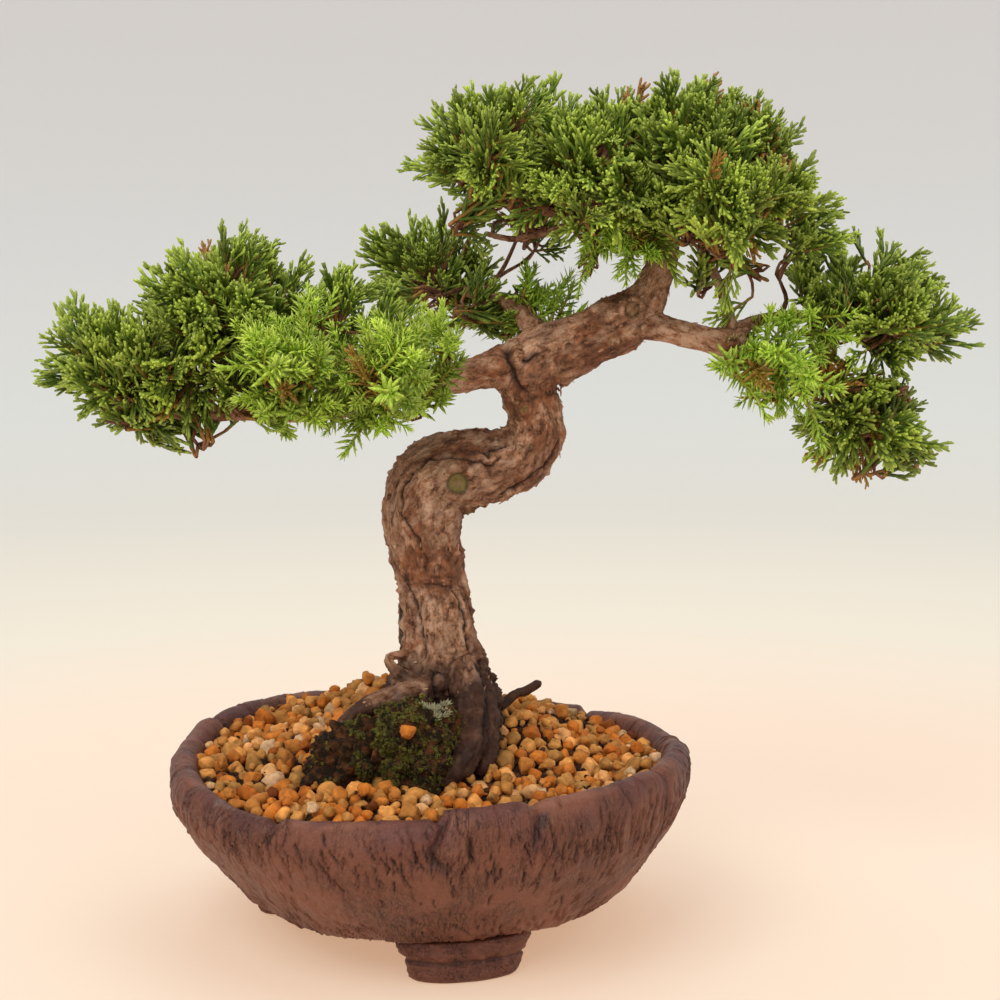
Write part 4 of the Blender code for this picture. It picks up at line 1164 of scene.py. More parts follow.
def build_moss(settings):
    """The mossy mound in front of the trunk, with its mat of tiny leaves and a tuft of lichen."""
    rng = np.random.default_rng(17)
    points, faces, directions = moss_skin()
    material = earth_material("moss_mat", settings.moss_dark, settings.moss_rust, 420.0)
    add_piece("moss_mound_mat", points, [faces], material, ["moss_mound"])

    heap = Heap()
    blade = np.array([(0, 0, 0), (0.22, 0.05, 0.5), (-0.22, 0.05, 0.5), (0, -0.10, 0.5), (0, 0.12, 1.25)])
    blade_faces = np.array([(0, 1, 3), (0, 3, 2), (0, 2, 1), (1, 4, 3), (3, 4, 2), (2, 4, 1)])
    lean = math.radians(34)
    tilt = np.array([[1, 0, 0], [0, math.cos(lean), -math.sin(lean)], [0, math.sin(lean), math.cos(lean)]])
    for turn in full_turn(5):
        cos, sin = math.cos(turn), math.sin(turn)
        spin = np.array([[cos, -sin, 0], [sin, cos, 0], [0, 0, 1]])
        heap.add(blade @ tilt.T @ spin.T, blade_faces)
    tuft = [heap.joined()]
    picked = rng.choice(len(points), 11000)
    patch = noise(points[picked] / 5.5, 83) + 0.5 * noise(points[picked] / 2.2, 84)
    grown = patch + np.clip((points[picked, 0] + 16) / 14, -0.6, 0.55) > 0.02
    picked = picked[grown & (points[picked, 2] > 45)][:6200]
    lichen = np.linalg.norm(points[picked] - LICHEN, axis=1) < LICHEN_RADIUS
    tone = np.clip(rng.beta(1.6, 2.6, len(picked)) * 0.85 + 0.25 * noise(points[picked] / 5, 8), 0, 0.85)
    tone[lichen] = 1.0
    ahead = unit(directions[picked] + rng.normal(size=(len(picked), 3)) * 0.4 + (0, 0, 0.3))
    sideways = unit(np.cross(ahead, rng.normal(size=(len(picked), 3))))
    points, faces, marks = place_many(
        tuft, np.zeros(len(picked), int), points[picked], sideways, ahead,
        rng.uniform(0.35, 0.95, len(picked)) * np.where(lichen, 2.2, 1.0), tone=tone)
    add_piece("moss_leaf_mat", points, [faces], moss_leaf_material(settings), ["moss_mound"], marks)


# ---------------------------------------------------------------- wood

def stem_table():
    """Every stem's smooth path, with radius, distance along it and directions across it."""
    rows = []
    for number, stem in enumerate(STEMS.values()):
        path = smooth_path(stem, STEM_STEP)
        ahead, side, other = path_frames(path[:, :3])
        along = np.concatenate([[0], np.cumsum(np.linalg.norm(np.diff(path[:, :3], axis=0), axis=1))])
        rows.append(np.column_stack([path, along + number * 400.0, ahead, side, other]))
    return rows


def wood_skin(settings):
    """One skin over all the stems, with close even faces."""
    heap = Heap()
    for number, row in enumerate(stem_table()):
        points, faces, _ = tube(row[:, :3], row[:, 3], STEM_SIDES)
        centre = np.repeat(row[:, :3], STEM_SIDES, axis=0)
        ring = points[:len(centre)] - centre
        turn = np.tile(np.arange(STEM_SIDES) * math.pi / (STEM_SIDES // 2), len(row))
        along = np.repeat(row[:, 4], STEM_SIDES)
        flute = 0.07 * np.sin(3 * turn + along * 0.05) + 0.05 * np.sin(5 * turn - along * 0.07 + number)
        unrolled = np.column_stack([np.cos(turn) * 1.2, np.sin(turn) * 1.2, along / 9])
        flute += 0.06 * noise(unrolled, 41 + number)
        points[:len(centre)] = centre + ring * (1 + flute)[:, None]
        heap.add(points, faces)
    points, faces, _ = heap.joined()
    mesh = bpy.data.meshes.new("wood_tubes")
    mesh.from_pydata((points * MM).tolist(), [], faces.tolist())
    draft = bpy.data.objects.new("wood_tubes", mesh)
    bpy.context.scene.collection.objects.link(draft)
    remesh = draft.modifiers.new("one_skin", "REMESH")
    remesh.mode = "VOXEL"
    remesh.voxel_size = settings.skin_step
    relax = draft.modifiers.new("relax", "SMOOTH")
    relax.iterations = 4
    relax.factor = 0.5
    bpy.context.view_layer.update()
    skin = bpy.data.meshes.new_from_object(draft.evaluated_get(bpy.context.evaluated_depsgraph_get()))
    found = np.zeros(len(skin.vertices) * 3, np.float32)
    skin.vertices.foreach_get("co", found)
    normals = np.zeros(len(skin.vertices) * 3, np.float32)
    skin.vertex_normals.foreach_get("vector", normals)
    corners = np.zeros(len(skin.loops), np.int32)
    skin.loops.foreach_get("vertex_index", corners)
    bpy.data.objects.remove(draft)
    bpy.data.meshes.remove(skin)
    return found.reshape(-1, 3) / MM, normals.reshape(-1, 3), corners.reshape(-1, 4)


def bark_places(points):
    """For every point: radius of its stem, and its place on the bark (across, across, along)."""
    table = np.vstack(stem_table())
    nearest = np.zeros(len(points), int)
    at_once = 8000  # points in a block, which keeps the table of distances small
    for start in range(0, len(points), at_once):
        block = points[start:start + at_once]
        gap = np.linalg.norm(block[:, None] - table[None, :, :3], axis=2) - table[:, 3]
        nearest[start:start + at_once] = gap.argmin(axis=1)
    own = table[nearest]
    away = points - own[:, :3]
    along = own[:, 4] + np.einsum("ij,ij->i", away, own[:, 5:8])
    x = np.einsum("ij,ij->i", away, own[:, 8:11])
    y = np.einsum("ij,ij->i", away, own[:, 11:14])
    size = np.maximum(np.hypot(x, y), 0.1)
    return own[:, 3], np.column_stack([x / size * own[:, 3], y / size * own[:, 3], along])


def line_distance(points, line):
    """Distance from (x, z) points to a bent line."""
    best = np.full(len(points), np.inf)
    for a, b in zip(np.array(line[:-1], float), np.array(line[1:], float)):
        share = np.clip((points - a) @ (b - a) / ((b - a) @ (b - a)), 0, 1)
        best = np.minimum(best, np.linalg.norm(points - a - share[:, None] * (b - a), axis=1))
    return best


def warts(points, radius):
    """Small knobs scattered over the thicker wood, in loose groups."""
    rng = np.random.default_rng(43)
    likely = np.flatnonzero((radius > 4.5) & (points[:, 2] > 70) & (noise(points / 14, 45) > -0.1))
    rise = np.zeros(len(points))
    for k in rng.choice(likely, 260, replace=False):
        size = rng.uniform(0.5, 1.0)
        away = np.linalg.norm(points - points[k], axis=1) / size
        rise = np.maximum(rise, rng.uniform(0.6, 1.2) * size * np.exp(-away ** 2 * 1.6))
    return rise


def build_wood(settings):
    """Roots, trunk and limbs in flaking bark, with cracks, knots and healed cuts."""
    points, normals, faces = wood_skin(settings)
    radius, grain = bark_places(points)
    size = np.clip(radius / 8.5, 0.16, 1.15)
    plate = settings.plate_depth / MM
    long_plates = layered_noise(grain / (4.0, 4.0, 7.0), 85, 3)
    plates = soft_step(-0.04, 0.05, long_plates) + 0.6 * soft_step(0.26, 0.34, long_plates)
    lumps = layered_noise(points / 6.0, 91, 2)
    pits = layered_noise(points / 1.9, 93, 2)
    wrinkles = ridges(grain / (6.0, 6.0, 1.6), 95) ** 6
    rough = soft_step(78, 66, points[:, 2] + 4 * noise(points / 6, 99))
    fibres = ridges(grain / (1.0, 1.0, 6.0), 81) ** 2
    relief = plates * plate * (0.55 + 0.8 * rough) + lumps * 0.55 + pits * 0.26 - wrinkles * 0.14
    relief += rough * (layered_noise(points / 1.7, 97, 2) * 0.9 + fibres * 1.0)
    relief += warts(points, radius)
    relief *= size
    front = normals[:, 1] < 0.15
    flat = points[:, [0, 2]]
    wander = np.column_stack([noise(points / 2.2, 101), noise(points / 2.2, 103)]) * 0.45
    crack = np.zeros(len(points))
    for line, width, depth in CRACKS:
        away = np.where(front, line_distance(flat + wander, line), np.inf)
        relief -= depth * np.exp(-(away / width) ** 2)
        relief += 0.30 * depth * np.exp(-((away - width * 2.6) / (width * 1.3)) ** 2)
        crack = np.maximum(crack, np.exp(-(away / (width * 0.9)) ** 2))
    scar, bare = np.zeros(len(points)), np.zeros(len(points))
    for x, z, outer, rise, depth, pale in KNOTS:
        away = np.where(front, np.linalg.norm(flat + wander * 0.4 - (x, z), axis=1), np.inf) / outer
        relief += rise * np.exp(-((away - 0.72) / 0.26) ** 2) - depth * np.exp(-(away / 0.5) ** 2)
        relief += rise * 0.7 * np.exp(-(away / 0.6) ** 2) * (depth == 0)
        scar = np.maximum(scar, pale * soft_step(0.62, 0.40, away) * (1 - 0.6 * soft_step(0.28, 0.12, away)))
        bare = np.maximum(bare, soft_step(0.30, 0.15, away) * (pale > 0.5))
        crack = np.maximum(crack, 0.75 * np.exp(-((away - 0.50) / 0.10) ** 2) * (depth > 0))
        crack = np.maximum(crack, 0.45 * np.exp(-((away - 1.08) / 0.12) ** 2))
    ragged = 0.35 * noise(points / 2.5, 107)
    for x, z, wide, tall, strength in BARE_PATCHES:
        away = np.hypot((points[:, 0] - x) / wide, (points[:, 2] - z) / tall) + ragged
        bare += strength * soft_step(1.2, 0.7, away)
    # Painted shade: the low gaps between plates, wrinkles, deep pits and hollows between lumps join the crack
    # mark and are painted near black.
    between = soft_step(0.35, 0.0, plates) * soft_step(0.5, 0.9, size) * 0.30
    between = np.maximum(between, wrinkles * 0.25 * size)
    crack = np.maximum(crack, between)
    crack = np.maximum(crack, 0.5 * soft_step(0.45, 0.8, -pits) * np.clip(size, 0, 1))
    crack = np.maximum(crack, 0.5 * soft_step(0.25, 0.75, -lumps) * rough)
    low = rough * (0.94 + 0.16 * noise(points / 2.4, 109))
    low = low + 0.3 * soft_step(0.25, 0.6, noise(points / 7, 111))
    points = points + normals * relief[:, None]
    marks = {"grain": grain, "crack": np.clip(crack, 0, 1), "scar": scar, "bare": bare,
             "low": np.clip(low * (1 - 0.8 * bare.clip(0, 1)), 0, 1)}
    material = bark_material(settings)
    add_piece("bark_trunk_roots_and_limbs", points, [faces], material, [WOOD_NODE], marks)
    build_flakes(points, normals, radius, grain, material)


def build_flakes(points, normals, radius, grain, material):
    """Small curled flakes that lift off the bark."""
    rng = np.random.default_rng(29)
    picked = rng.choice(np.flatnonzero((radius > 1.6) & (points[:, 2] > 60)), 420, replace=False)
    table = np.vstack(stem_table())
    heap = Heap()
    for k in picked:
        own = table[np.argmin(np.linalg.norm(table[:, :3] - points[k], axis=1))]
        ahead = unit(own[5:8] * rng.choice((-1, 1)) + rng.normal(size=3) * 0.25)
        up = normals[k]
        side = unit(np.cross(ahead, up))
        length, width = rng.uniform(0.6, 1.7), rng.uniform(0.35, 0.8)
        lift = rng.uniform(0.05, 0.28)
        steps = np.linspace(0, 1, 4)
        rows = [points[k] + ahead * length * s + up * (0.02 + lift * s ** 1.8) for s in steps]
        wide = width * np.array([0.7, 1.0, 0.8, 0.25]) / 2
        top = [np.stack([r - side * w, r + up * 0.08, r + side * w]) for r, w in zip(rows, wide)]
        under = [part - up * 0.13 for part in top]
        block = np.vstack(top + under)
        faces = []
        for r in range(3):
            for c in range(2):
                a = r * 3 + c
                faces += [(a, a + 1, a + 4), (a, a + 4, a + 3)]
                faces += [(a + 12, a + 16, a + 13), (a + 12, a + 15, a + 16)]
            for a, b in ((r * 3, r * 3 + 3), (r * 3 + 5, r * 3 + 2)):
                faces += [(a, b, b + 12), (a, b + 12, a + 12)]
        for a, b in ((1, 0), (2, 1), (9, 10), (10, 11)):
            faces += [(a, b, b + 12), (a, b + 12, a + 12)]
        heap.add(block, faces, crack=rng.choice((0.0, 0.0, 0.35)), scar=0.0, bare=rng.uniform(0, 0.8),
                 low=0.0, number=float(k))
    block, faces, marks = heap.joined()
    own = marks.pop("number").astype(int)
    marks["grain"] = grain[own]
    add_piece("bark_flakes", block, [faces], material, [WOOD_NODE], marks, smooth=False)


# ---------------------------------------------------------------- foliage

def scaly_cord(path, radius, heap, old=0.0):
    """A branchlet covered in scales: a beaded tube that is paler near its end."""
    length = float(np.linalg.norm(np.diff(path, axis=0), axis=1).sum())
    count = max(3, round(length / 0.95) + 1)
    at = np.linspace(0, 1, count)
    line = np.column_stack([np.interp(at, np.linspace(0, 1, len(path)), path[:, k]) for k in range(3)])
    beads = np.where(np.arange(count) % 2, 1.12, 0.92)
    taper = np.interp(at, [0, 0.75, 1.0], [1.0, 0.95, 0.72])
    points, faces, along = tube(line, radius * beads * taper, 4)
    left = (1 - along) * length
    heap.add(points, faces, tip=np.clip(1 - left / 4.2, 0, 1), old=np.clip(old - along * old * 1.4, 0, 1))


def curved(start, ahead, length, towards, bend, steps=5):
    """A short path that leaves in one direction and bends towards another."""
    path = [np.asarray(start, float)]
    for _ in range(steps):
        ahead = unit(ahead + towards * bend / steps)
        path.append(path[-1] + ahead * length / steps)
    return np.array(path)


def scale_spray(rng, radius):
    """A flat spray of scaly branchlets, one unit long, that fork to both sides and point forwards."""
    heap = Heap()
    length = 18.0
    up = np.array([0.0, 0.0, 1.0])
    bow = np.array([rng.normal(0, 0.25), rng.normal(0, 0.25), 0.0])
    main = curved((0, 0, 0), unit(up - bow * 0.5), length, bow, 1.0, 9)
    scaly_cord(main, radius * 1.15, heap, 0.9)
    way, at = rng.choice((-1, 1)), 2.4
    while at < length - 1.2:
        share = at / length
        start = point_along(main, share)
        lean = math.radians(rng.uniform(26, 44))
        spread = rng.normal(0, 0.38)
        ahead = unit(np.array([way * math.sin(lean) * math.cos(spread), math.sin(lean) * math.sin(spread),
                               math.cos(lean)]))
        reach = (9.4 * (1 - share) ** 0.8 + 2.0) * rng.uniform(0.65, 1.15)
        branch = curved(start, ahead, reach, up, rng.uniform(0.2, 0.8))
        scaly_cord(branch, radius, heap)
        fork, turn = rng.uniform(2.0, 3.2), -way
        while fork < reach - 1.0:
            wide = unit(ahead + np.array([turn * 0.75, rng.normal(0, 0.35), 0.25]))
            side_reach = (reach - fork) * rng.uniform(0.40, 0.75) + 1.3
            side = curved(point_along(branch, fork / reach), wide, side_reach, up, 0.4, 3)
            scaly_cord(side, radius * 0.92, heap)
            turn, fork = -turn, fork + rng.uniform(2.3, 3.5)
        way, at = -way, at + rng.uniform(1.5, 2.4)
    points, faces, marks = heap.joined()
    return points / length, faces, marks


def needle_shoot(rng, needle):
    """A young shoot, one unit long, with whorls of three flat sharp needles."""
    heap = Heap()
    length = 12.0
    bow = np.array([rng.normal(0, 0.3), rng.normal(0, 0.3), 0.0])
    main = curved((0, 0, 0), unit(np.array([0, 0, 1.0]) - bow * 0.5), length, bow, 1.0, 9)
    points, faces, along = tube(main, np.linspace(0.5, 0.28, len(main)), 4)
    heap.add(points, faces, tip=along * 0.5, old=0.7 * (1 - along))
    blade = np.array([
        (0, 0, 0), (0.105, 0, 0.32), (-0.105, 0, 0.32), (0, -0.060, 0.32), (0.078, 0, 0.68),
        (-0.078, 0, 0.68), (0, -0.04, 0.68), (0, 0, 1)])
    blade_faces = np.array([
        (0, 1, 3), (0, 3, 2), (0, 2, 1), (1, 4, 6), (1, 6, 3), (3, 6, 5), (3, 5, 2), (2, 5, 4), (2, 4, 1),
        (4, 7, 6), (6, 7, 5), (5, 7, 4)])
    tips = np.array([0.1, 0.4, 0.4, 0.35, 0.75, 0.75, 0.7, 1.0])
    spin, at = rng.uniform(0, 2 * math.pi), 1.0
    while at < length:
        share = at / length
        centre = point_along(main, share)
        for k in range(3):
            turn = spin + k * 2 * math.pi / 3 + rng.normal(0, 0.12)
            lean = math.radians(np.interp(share, [0, 1], [68, 26]) + rng.normal(0, 6))
            out = np.array([math.cos(turn), math.sin(turn), 0])
            ahead = out * math.sin(lean) + np.array([0, 0, math.cos(lean)])
            wide = unit(np.cross(ahead, out + (0, 0, 1e-3)))
            deep = np.cross(ahead, wide)
            size = needle * np.interp(share, [0, 0.5, 1], [0.85, 1.0, 0.62]) * rng.uniform(0.85, 1.1)
            arch = blade + np.outer((blade[:, 2] ** 2) * -0.10, (0, 1, 0))
            heap.add(centre + size * (arch @ np.stack([wide, deep, ahead])), blade_faces,
                     tip=tips * (0.55 + 0.45 * share), old=0.0)
        spin, at = spin + math.pi / 3, at + 1.35
    for turn in range(4):
        out = np.array([math.cos(turn * 1.6), math.sin(turn * 1.6), 0]) * 0.28
        ahead = unit(out + (0, 0, 1))
        wide = unit(np.cross(ahead, (1.0, 0.2, 0)))
        turned = (blade * needle * 0.6) @ np.stack([wide, np.cross(ahead, wide), ahead])
        heap.add(main[-1] + turned, blade_faces, tip=tips, old=0.0)
    points, faces, marks = heap.joined()
    return points / length, faces, marks


def nearest_wood(points):
    """The nearest place on the stems to each point, and the stem's radius there."""
    table = np.vstack(stem_table())
    gap = np.linalg.norm(points[:, None] - table[None, :, :3], axis=2)
    own = table[gap.argmin(axis=1)]
    return own[:, :3], own[:, 3]


def shoots_of(name, rng):
    """Where a pad's shoots start, which way they grow and how long they are. They grow in tufts with gaps."""
    _, spacing, length, _, droop, lobes = PADS[name]
    spots, grow, lengths = [], [], []
    for share, wider, each in ((1.0, 2.15, 6), (0.62, 2.9, 4)):
        part = [(*lobe[:3], *(r * share for r in lobe[3:])) for lobe in lobes]
        middles, normals = over_lobes(part, spacing * wider, rng)
        sparse = (normals[:, 2] < -0.35) & (rng.uniform(size=len(middles)) < 0.45)
        middles, normals = middles[~sparse], normals[~sparse]
        wood, _ = nearest_wood(middles)
        normals[:, 2] = np.where(normals[:, 2] < 0, normals[:, 2] * (0.45 + droop), normals[:, 2])
        lead = unit(0.45 * unit(normals) + 0.85 * unit(middles - wood) + (0, 0, 0.30 - 0.8 * droop)
                    + rng.normal(size=middles.shape) * 0.20)
        reach = length * rng.uniform(0.85, 1.25, len(middles))
        middles = middles + lead * rng.normal(0.3, 2.6, len(middles)).clip(-6, 4.5)[:, None]
        hubs = middles - lead * reach[:, None] * 1.15
        own = np.repeat(np.arange(len(middles)), each)
        fan = rng.normal(size=(len(own), 3)) * spacing * 1.05
        fan -= lead[own] * np.einsum("ij,ij->i", fan, lead[own])[:, None]
        drop = np.linalg.norm(fan, axis=1) * 0.35
        tips = middles[own] + fan - lead[own] * (drop + rng.uniform(-1.0, 3.0, len(own)))[:, None]
        ahead = unit(unit(tips - hubs[own]) + rng.normal(size=tips.shape) * 0.10)
        size = reach[own] * rng.uniform(0.72, 1.05, len(own))
        spots.append(tips - ahead * size[:, None])
        grow.append(ahead)
        lengths.append(size)
    return np.vstack(spots), np.vstack(grow), np.concatenate(lengths)


def add_pad(name, patterns, material, twigs, seed):
    """All the shoots of one pad, and the twigs that carry them."""
    rng = np.random.default_rng(seed)
    spots, ahead, lengths = shoots_of(name, rng)
    choice = rng.integers(len(patterns), size=len(spots))
    faces_each = np.array([len(pattern[1]) for pattern in patterns])[choice]
    kept = np.cumsum(faces_each) < MAX_FACES
    spots, ahead, lengths, choice = spots[kept], ahead[kept], lengths[kept], choice[kept]
    sideways = unit(np.cross(ahead, rng.normal(size=ahead.shape)))
    tone = np.clip(rng.normal(0, 0.55, len(spots)), -1, 1)
    yellow = np.clip(PADS[name][3] + rng.normal(0, 0.35, len(spots)), -0.6, 1.5)
    dry = rng.uniform(size=len(spots)) < DRY_SHARE.get(name, FEW_DRY)
    points, faces, marks = place_many(patterns, choice, spots, sideways, ahead, lengths,
                                      tone=tone, yellow=yellow, dry=dry.astype(float))
    marks["old"] = np.maximum(marks["old"], marks.pop("dry") * 0.85)
    add_piece(name + "_shoots", points, [faces], material, [name.split(".")[0]], marks)
    add_twigs(spots, ahead, twigs, rng)


def add_twigs(spots, ahead, twigs, rng):
    """Thin twigs from the wood to hubs inside a pad, and from the hubs to every shoot."""
    hubs = [spots[0]]
    for _ in range(max(3, len(spots) // 11)):
        gap = np.min(np.linalg.norm(spots[:, None] - np.array(hubs)[None], axis=2), axis=1)
        hubs.append(spots[gap.argmax()])
    hubs = np.array(hubs)
    wood, radius = nearest_wood(hubs)
    hubs = hubs + (wood - hubs) * 0.30
    for hub, root, thick in zip(hubs, wood, radius):
        middle = (hub + root) / 2 + rng.normal(size=3) * 1.6
        line = smooth_path([root, middle, hub], 2.0)
        points, faces, along = tube(line, np.linspace(min(0.85, thick * 0.7), 0.45, len(line)), 6)
        twigs.add(points, faces, along=along)
    for spot, way in zip(spots, ahead):
        hub = hubs[np.argmin(np.linalg.norm(hubs - spot, axis=1))]
        if np.linalg.norm(hub - spot) < 0.5:
            continue
        middle = (hub + spot) / 2 - way * 1.2 + rng.normal(size=3) * 0.7
        line = smooth_path([hub, middle, spot, spot + way * 1.5], 2.2)
        points, faces, along = tube(line, np.linspace(0.50, 0.36, len(line)), 5)
        twigs.add(points, faces, along=along)


def build_foliage(kind, context):
    """All pads of one kind of leaf."""
    settings, wood = context.scene.bonsai_foliage, context.scene.bonsai_wood
    rng = np.random.default_rng(3 if kind == "scale" else 4)
    if kind == "scale":
        patterns = [scale_spray(rng, settings.cord_radius / MM) for _ in range(10)]
        material, slot = leaf_material("scale_leaves", settings), "scale_leaf"
    else:
        patterns = [needle_shoot(rng, settings.needle_length / MM) for _ in range(8)]
        material, slot = leaf_material("young_needles", settings, 4.2, 1.4), "young_needle"
    twigs = Heap()
    for number, name in enumerate(PADS):
        if PADS[name][0] == kind:
            add_pad(name, patterns, material, twigs, 500 + number)
    points, faces, marks = twigs.joined()
    none = np.zeros(len(points))
    marks = {"grain": points * (1.0, 1.0, 0.4), "crack": none, "scar": none, "bare": none,
             "low": 0.30 + 0.35 * noise(points / 5, 6)}
    bark = bpy.data.materials.get("twig_bark") or bark_material(wood, "twig_bark", 0.3)
    add_piece(f"twigs_under_{kind}_leaves", points, [faces], bark, [WOOD_NODE], marks)


# ---------------------------------------------------------------- stage

def build_cove(settings):
    """A round cove of pale paper with painted light: it glows, graded from the floor up the backdrop, so that
    the backdrop stays even and the shade under the pot is lifted.
    """
    rim, bend, top, columns = settings.cove_radius, 0.45, 1.5, 96
    curve = np.linspace(0.08, math.pi / 2, 14)
    profile = [(0.0, 0.0), (0.3, 0.0), (rim - bend, 0.0)]
    profile += [(rim - bend + bend * math.sin(a), bend - bend * math.cos(a)) for a in curve] + [(rim, top)]
    points = np.array([(r * math.cos(t), r * math.sin(t), z) for r, z in profile for t in full_turn(columns)])
    faces = ring_faces(len(profile), columns, turned=True)
    mesh = bpy.data.meshes.new("paper_cove")
    mesh.from_pydata((points + POT_AXIS).tolist(), [], faces.tolist())
    mesh.polygons.foreach_set("use_smooth", np.ones(len(mesh.polygons), bool))
    cove = bpy.data.objects.new("paper_cove", mesh)
    bpy.context.scene.collection.objects.link(cove)
    material, tree, shader = new_material("cove_paper")
    place = object_place(tree)
    split = add_node(tree, "ShaderNodeSeparateXYZ", {0: place})
    flat = on_axes(tree, "MULTIPLY", place, (1.0, 1.0, 0.0))
    away = add_node(tree, "ShaderNodeVectorMath", {0: flat}, operation="LENGTH").outputs["Value"]
    reach = calculate(tree, "ADD", away, scaled(tree, split.outputs["Z"], 1.3))
    reach = calculate(tree, "MULTIPLY", reach, 0.5, clamp=True)
    fibre = cloud(tree, place, 900.0)
    # Painted light: the glow ramp stands in for lamp light on the paper, from under the pot to the top of the
    # backdrop.
    glow = ramp(tree, reach, [(0.12, settings.floor), (0.22, settings.far_floor), (0.62, settings.bend),
                              (0.95, settings.wall)])
    paper = blend_colour(tree, scaled(tree, fibre, 0.08), settings.paper, settings.floor)
    tree.links.new(paper, shader.inputs["Base Color"])
    tree.links.new(glow, shader.inputs["Emission Color"])
    shader.inputs["Emission Strength"].default_value = settings.glow
    shader.inputs["Roughness"].default_value = 0.7
    shader.inputs["Specular IOR Level"].default_value = 0.15
    mesh.materials.append(material)


def build_lights(settings):
    """Three soft lamps and a dim room round them."""
    for name, place, size, share, colour in LAMPS:
        data = bpy.data.lights.new(name, "AREA")
        data.size, data.energy, data.color = size, settings.key_power * share, colour
        holder = bpy.data.objects.new(name, data)
        holder.location = place
        away = Vector(place) - Vector(LAMP_AIM)
        holder.rotation_euler = away.to_track_quat("Z", "Y").to_euler()
        bpy.context.scene.collection.objects.link(holder)
    world = bpy.data.worlds.new("soft_room")
    world.use_nodes = True
    sky = world.node_tree.nodes["Background"].inputs
    sky["Color"].default_value, sky["Strength"].default_value = ROOM_COLOUR, ROOM_STRENGTH
    bpy.context.scene.world = world
    bpy.context.scene.view_settings.view_transform = "Standard"


def build_camera(settings):
    """The camera, a little above the pot and looking slightly down."""
    data = bpy.data.cameras.new("portrait_camera")
    data.sensor_width, data.lens = CAMERA_SENSOR, CAMERA_LENS
    data.clip_start, data.clip_end = 0.01, 10.0
    camera = bpy.data.objects.new("portrait_camera", data)
    camera.location = (POT_AXIS[0] + CAMERA_SIDE, POT_AXIS[1] - settings.camera_distance, CAMERA_HEIGHT)
    camera.rotation_euler = (CAMERA_TILT, 0.0, 0.0)
    bpy.context.scene.collection.objects.link(camera)
    bpy.context.scene.camera = camera


# ---------------------------------------------------------------- operators

class BONSAI_OT_stage(bpy.types.Operator):
    """Set up the floor, the lamps and the camera"""

    bl_idname = "bonsai.stage"
    bl_label = "Stage"

    def execute(self, context):
        settings = context.scene.bonsai_stage
        build_cove(settings)
        build_lights(settings)
        build_camera(settings)
        return {"FINISHED"}


class BONSAI_OT_pot(bpy.types.Operator):
    """Model the pinched bowl"""

    bl_idname = "bonsai.pot"
    bl_label = "Bowl"

    def execute(self, context):
        build_bowl(context.scene.bonsai_pot)
        return {"FINISHED"}


class BONSAI_OT_feet(bpy.types.Operator):
    """Press the three feet"""

    bl_idname = "bonsai.feet"
    bl_label = "Feet"

    def execute(self, context):
        for number, (name, degrees) in enumerate(FEET.items()):
            build_foot(name, degrees, context.scene.bonsai_pot, 200 + number)
        return {"FINISHED"}


class BONSAI_OT_drain(bpy.types.Operator):
    """Finish the drain mesh, its wire and the root ball"""

    bl_idname = "bonsai.drain"
    bl_label = "Drain and root ball"

    def execute(self, context):
        soil = context.scene.bonsai_dressing
        finishes = {
            "drain_mesh": small_part_material("moulded_mesh", MESH_DARK, MESH_LIGHT, 0.55, 0.0, 300.0),
            "mesh_clip": small_part_material("annealed_wire", WIRE_DARK, WIRE_LIGHT, 0.42, 1.0, 500.0),
            "root_ball_soil": earth_material("root_ball", soil.soil, soil.soil_light),
        }
        for node, material in finishes.items():
            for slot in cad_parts[node].material_slots:
                slot.material = material
        return {"FINISHED"}


class BONSAI_OT_dressing(bpy.types.Operator):
    """Lay the soil bed and the grains"""

    bl_idname = "bonsai.dressing"
    bl_label = "Grains"

    def execute(self, context):
        build_dressing(context.scene.bonsai_dressing)
        return {"FINISHED"}


class BONSAI_OT_moss(bpy.types.Operator):
    """Grow the mossy mound"""

    bl_idname = "bonsai.moss"
    bl_label = "Moss"

    def execute(self, context):
        build_moss(context.scene.bonsai_dressing)
        return {"FINISHED"}


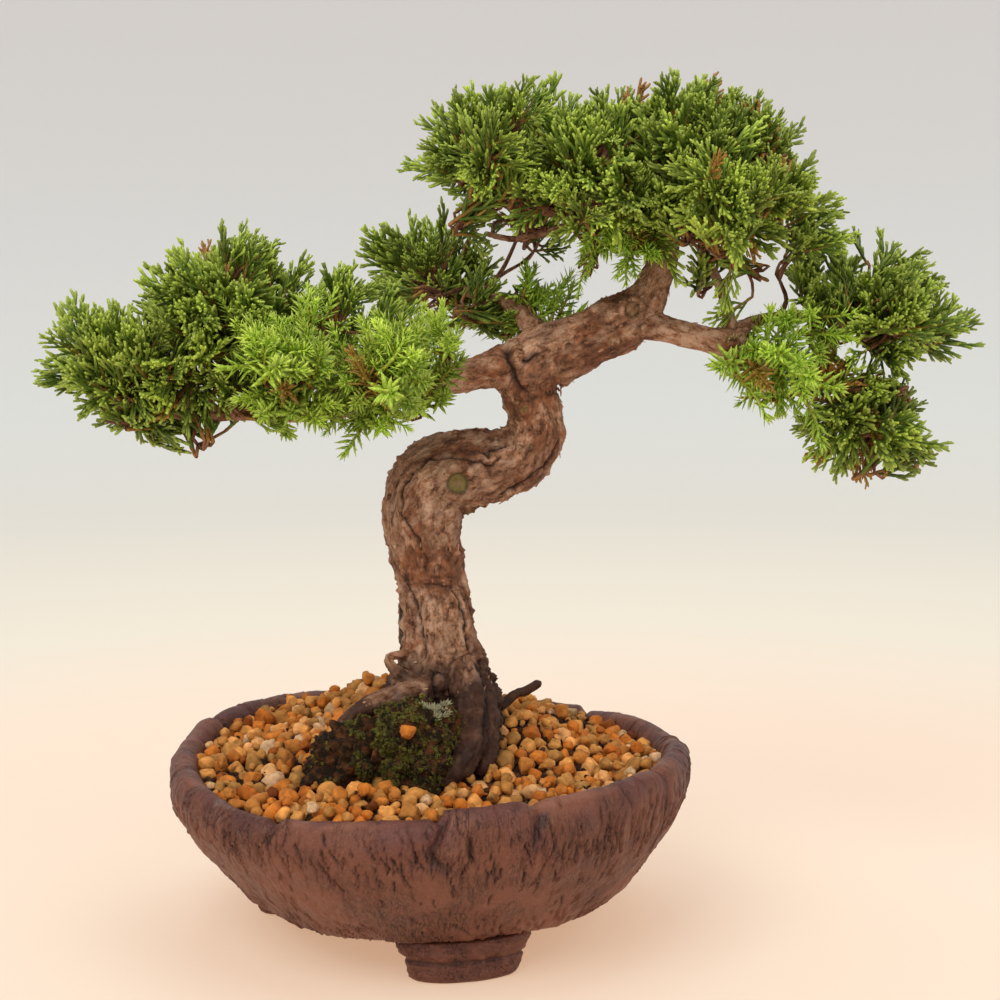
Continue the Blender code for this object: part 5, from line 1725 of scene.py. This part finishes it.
class BONSAI_OT_wood(bpy.types.Operator):
    """Grow the trunk, roots and limbs with their bark"""

    bl_idname = "bonsai.wood"
    bl_label = "Trunk and limbs"

    def execute(self, context):
        build_wood(context.scene.bonsai_wood)
        return {"FINISHED"}


class BONSAI_OT_scale_foliage(bpy.types.Operator):
    """Fill the pads of mature, scaly foliage"""

    bl_idname = "bonsai.scale_foliage"
    bl_label = "Scale foliage"

    def execute(self, context):
        build_foliage("scale", context)
        return {"FINISHED"}


class BONSAI_OT_needle_foliage(bpy.types.Operator):
    """Fill the tufts of young needles"""

    bl_idname = "bonsai.needle_foliage"
    bl_label = "Needle foliage"

    def execute(self, context):
        build_foliage("needle", context)
        return {"FINISHED"}


OPERATORS = (BONSAI_OT_stage, BONSAI_OT_pot, BONSAI_OT_feet, BONSAI_OT_drain, BONSAI_OT_dressing,
             BONSAI_OT_moss, BONSAI_OT_wood, BONSAI_OT_scale_foliage, BONSAI_OT_needle_foliage)
SETTINGS = {"bonsai_pot": PotSettings, "bonsai_dressing": DressingSettings, "bonsai_wood": WoodSettings,
            "bonsai_foliage": FoliageSettings, "bonsai_stage": StageSettings}


class BONSAI_PT_parts(bpy.types.Panel):
    """The bonsai's parts and their sizes and colours"""

    bl_idname = "BONSAI_PT_parts"
    bl_label = "Bonsai"
    bl_space_type = "VIEW_3D"
    bl_region_type = "UI"
    bl_category = "Bonsai"

    def draw(self, context):
        for operator in OPERATORS:
            self.layout.operator(operator.bl_idname)
        for name, group in SETTINGS.items():
            box = self.layout.box()
            for setting in group.__annotations__:
                box.prop(getattr(context.scene, name), setting)


def register():
    for part in (*SETTINGS.values(), *OPERATORS, BONSAI_PT_parts):
        bpy.utils.register_class(part)
    for name, group in SETTINGS.items():
        setattr(bpy.types.Scene, name, PointerProperty(type=group))


def unregister():
    for name in SETTINGS:
        delattr(bpy.types.Scene, name)
    for part in reversed((*SETTINGS.values(), *OPERATORS, BONSAI_PT_parts)):
        bpy.utils.unregister_class(part)


def main():
    register()
    for operator in OPERATORS:
        getattr(bpy.ops.bonsai, operator.bl_idname.split(".")[1])()
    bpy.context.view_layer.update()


if __name__ == "__main__":
    main()
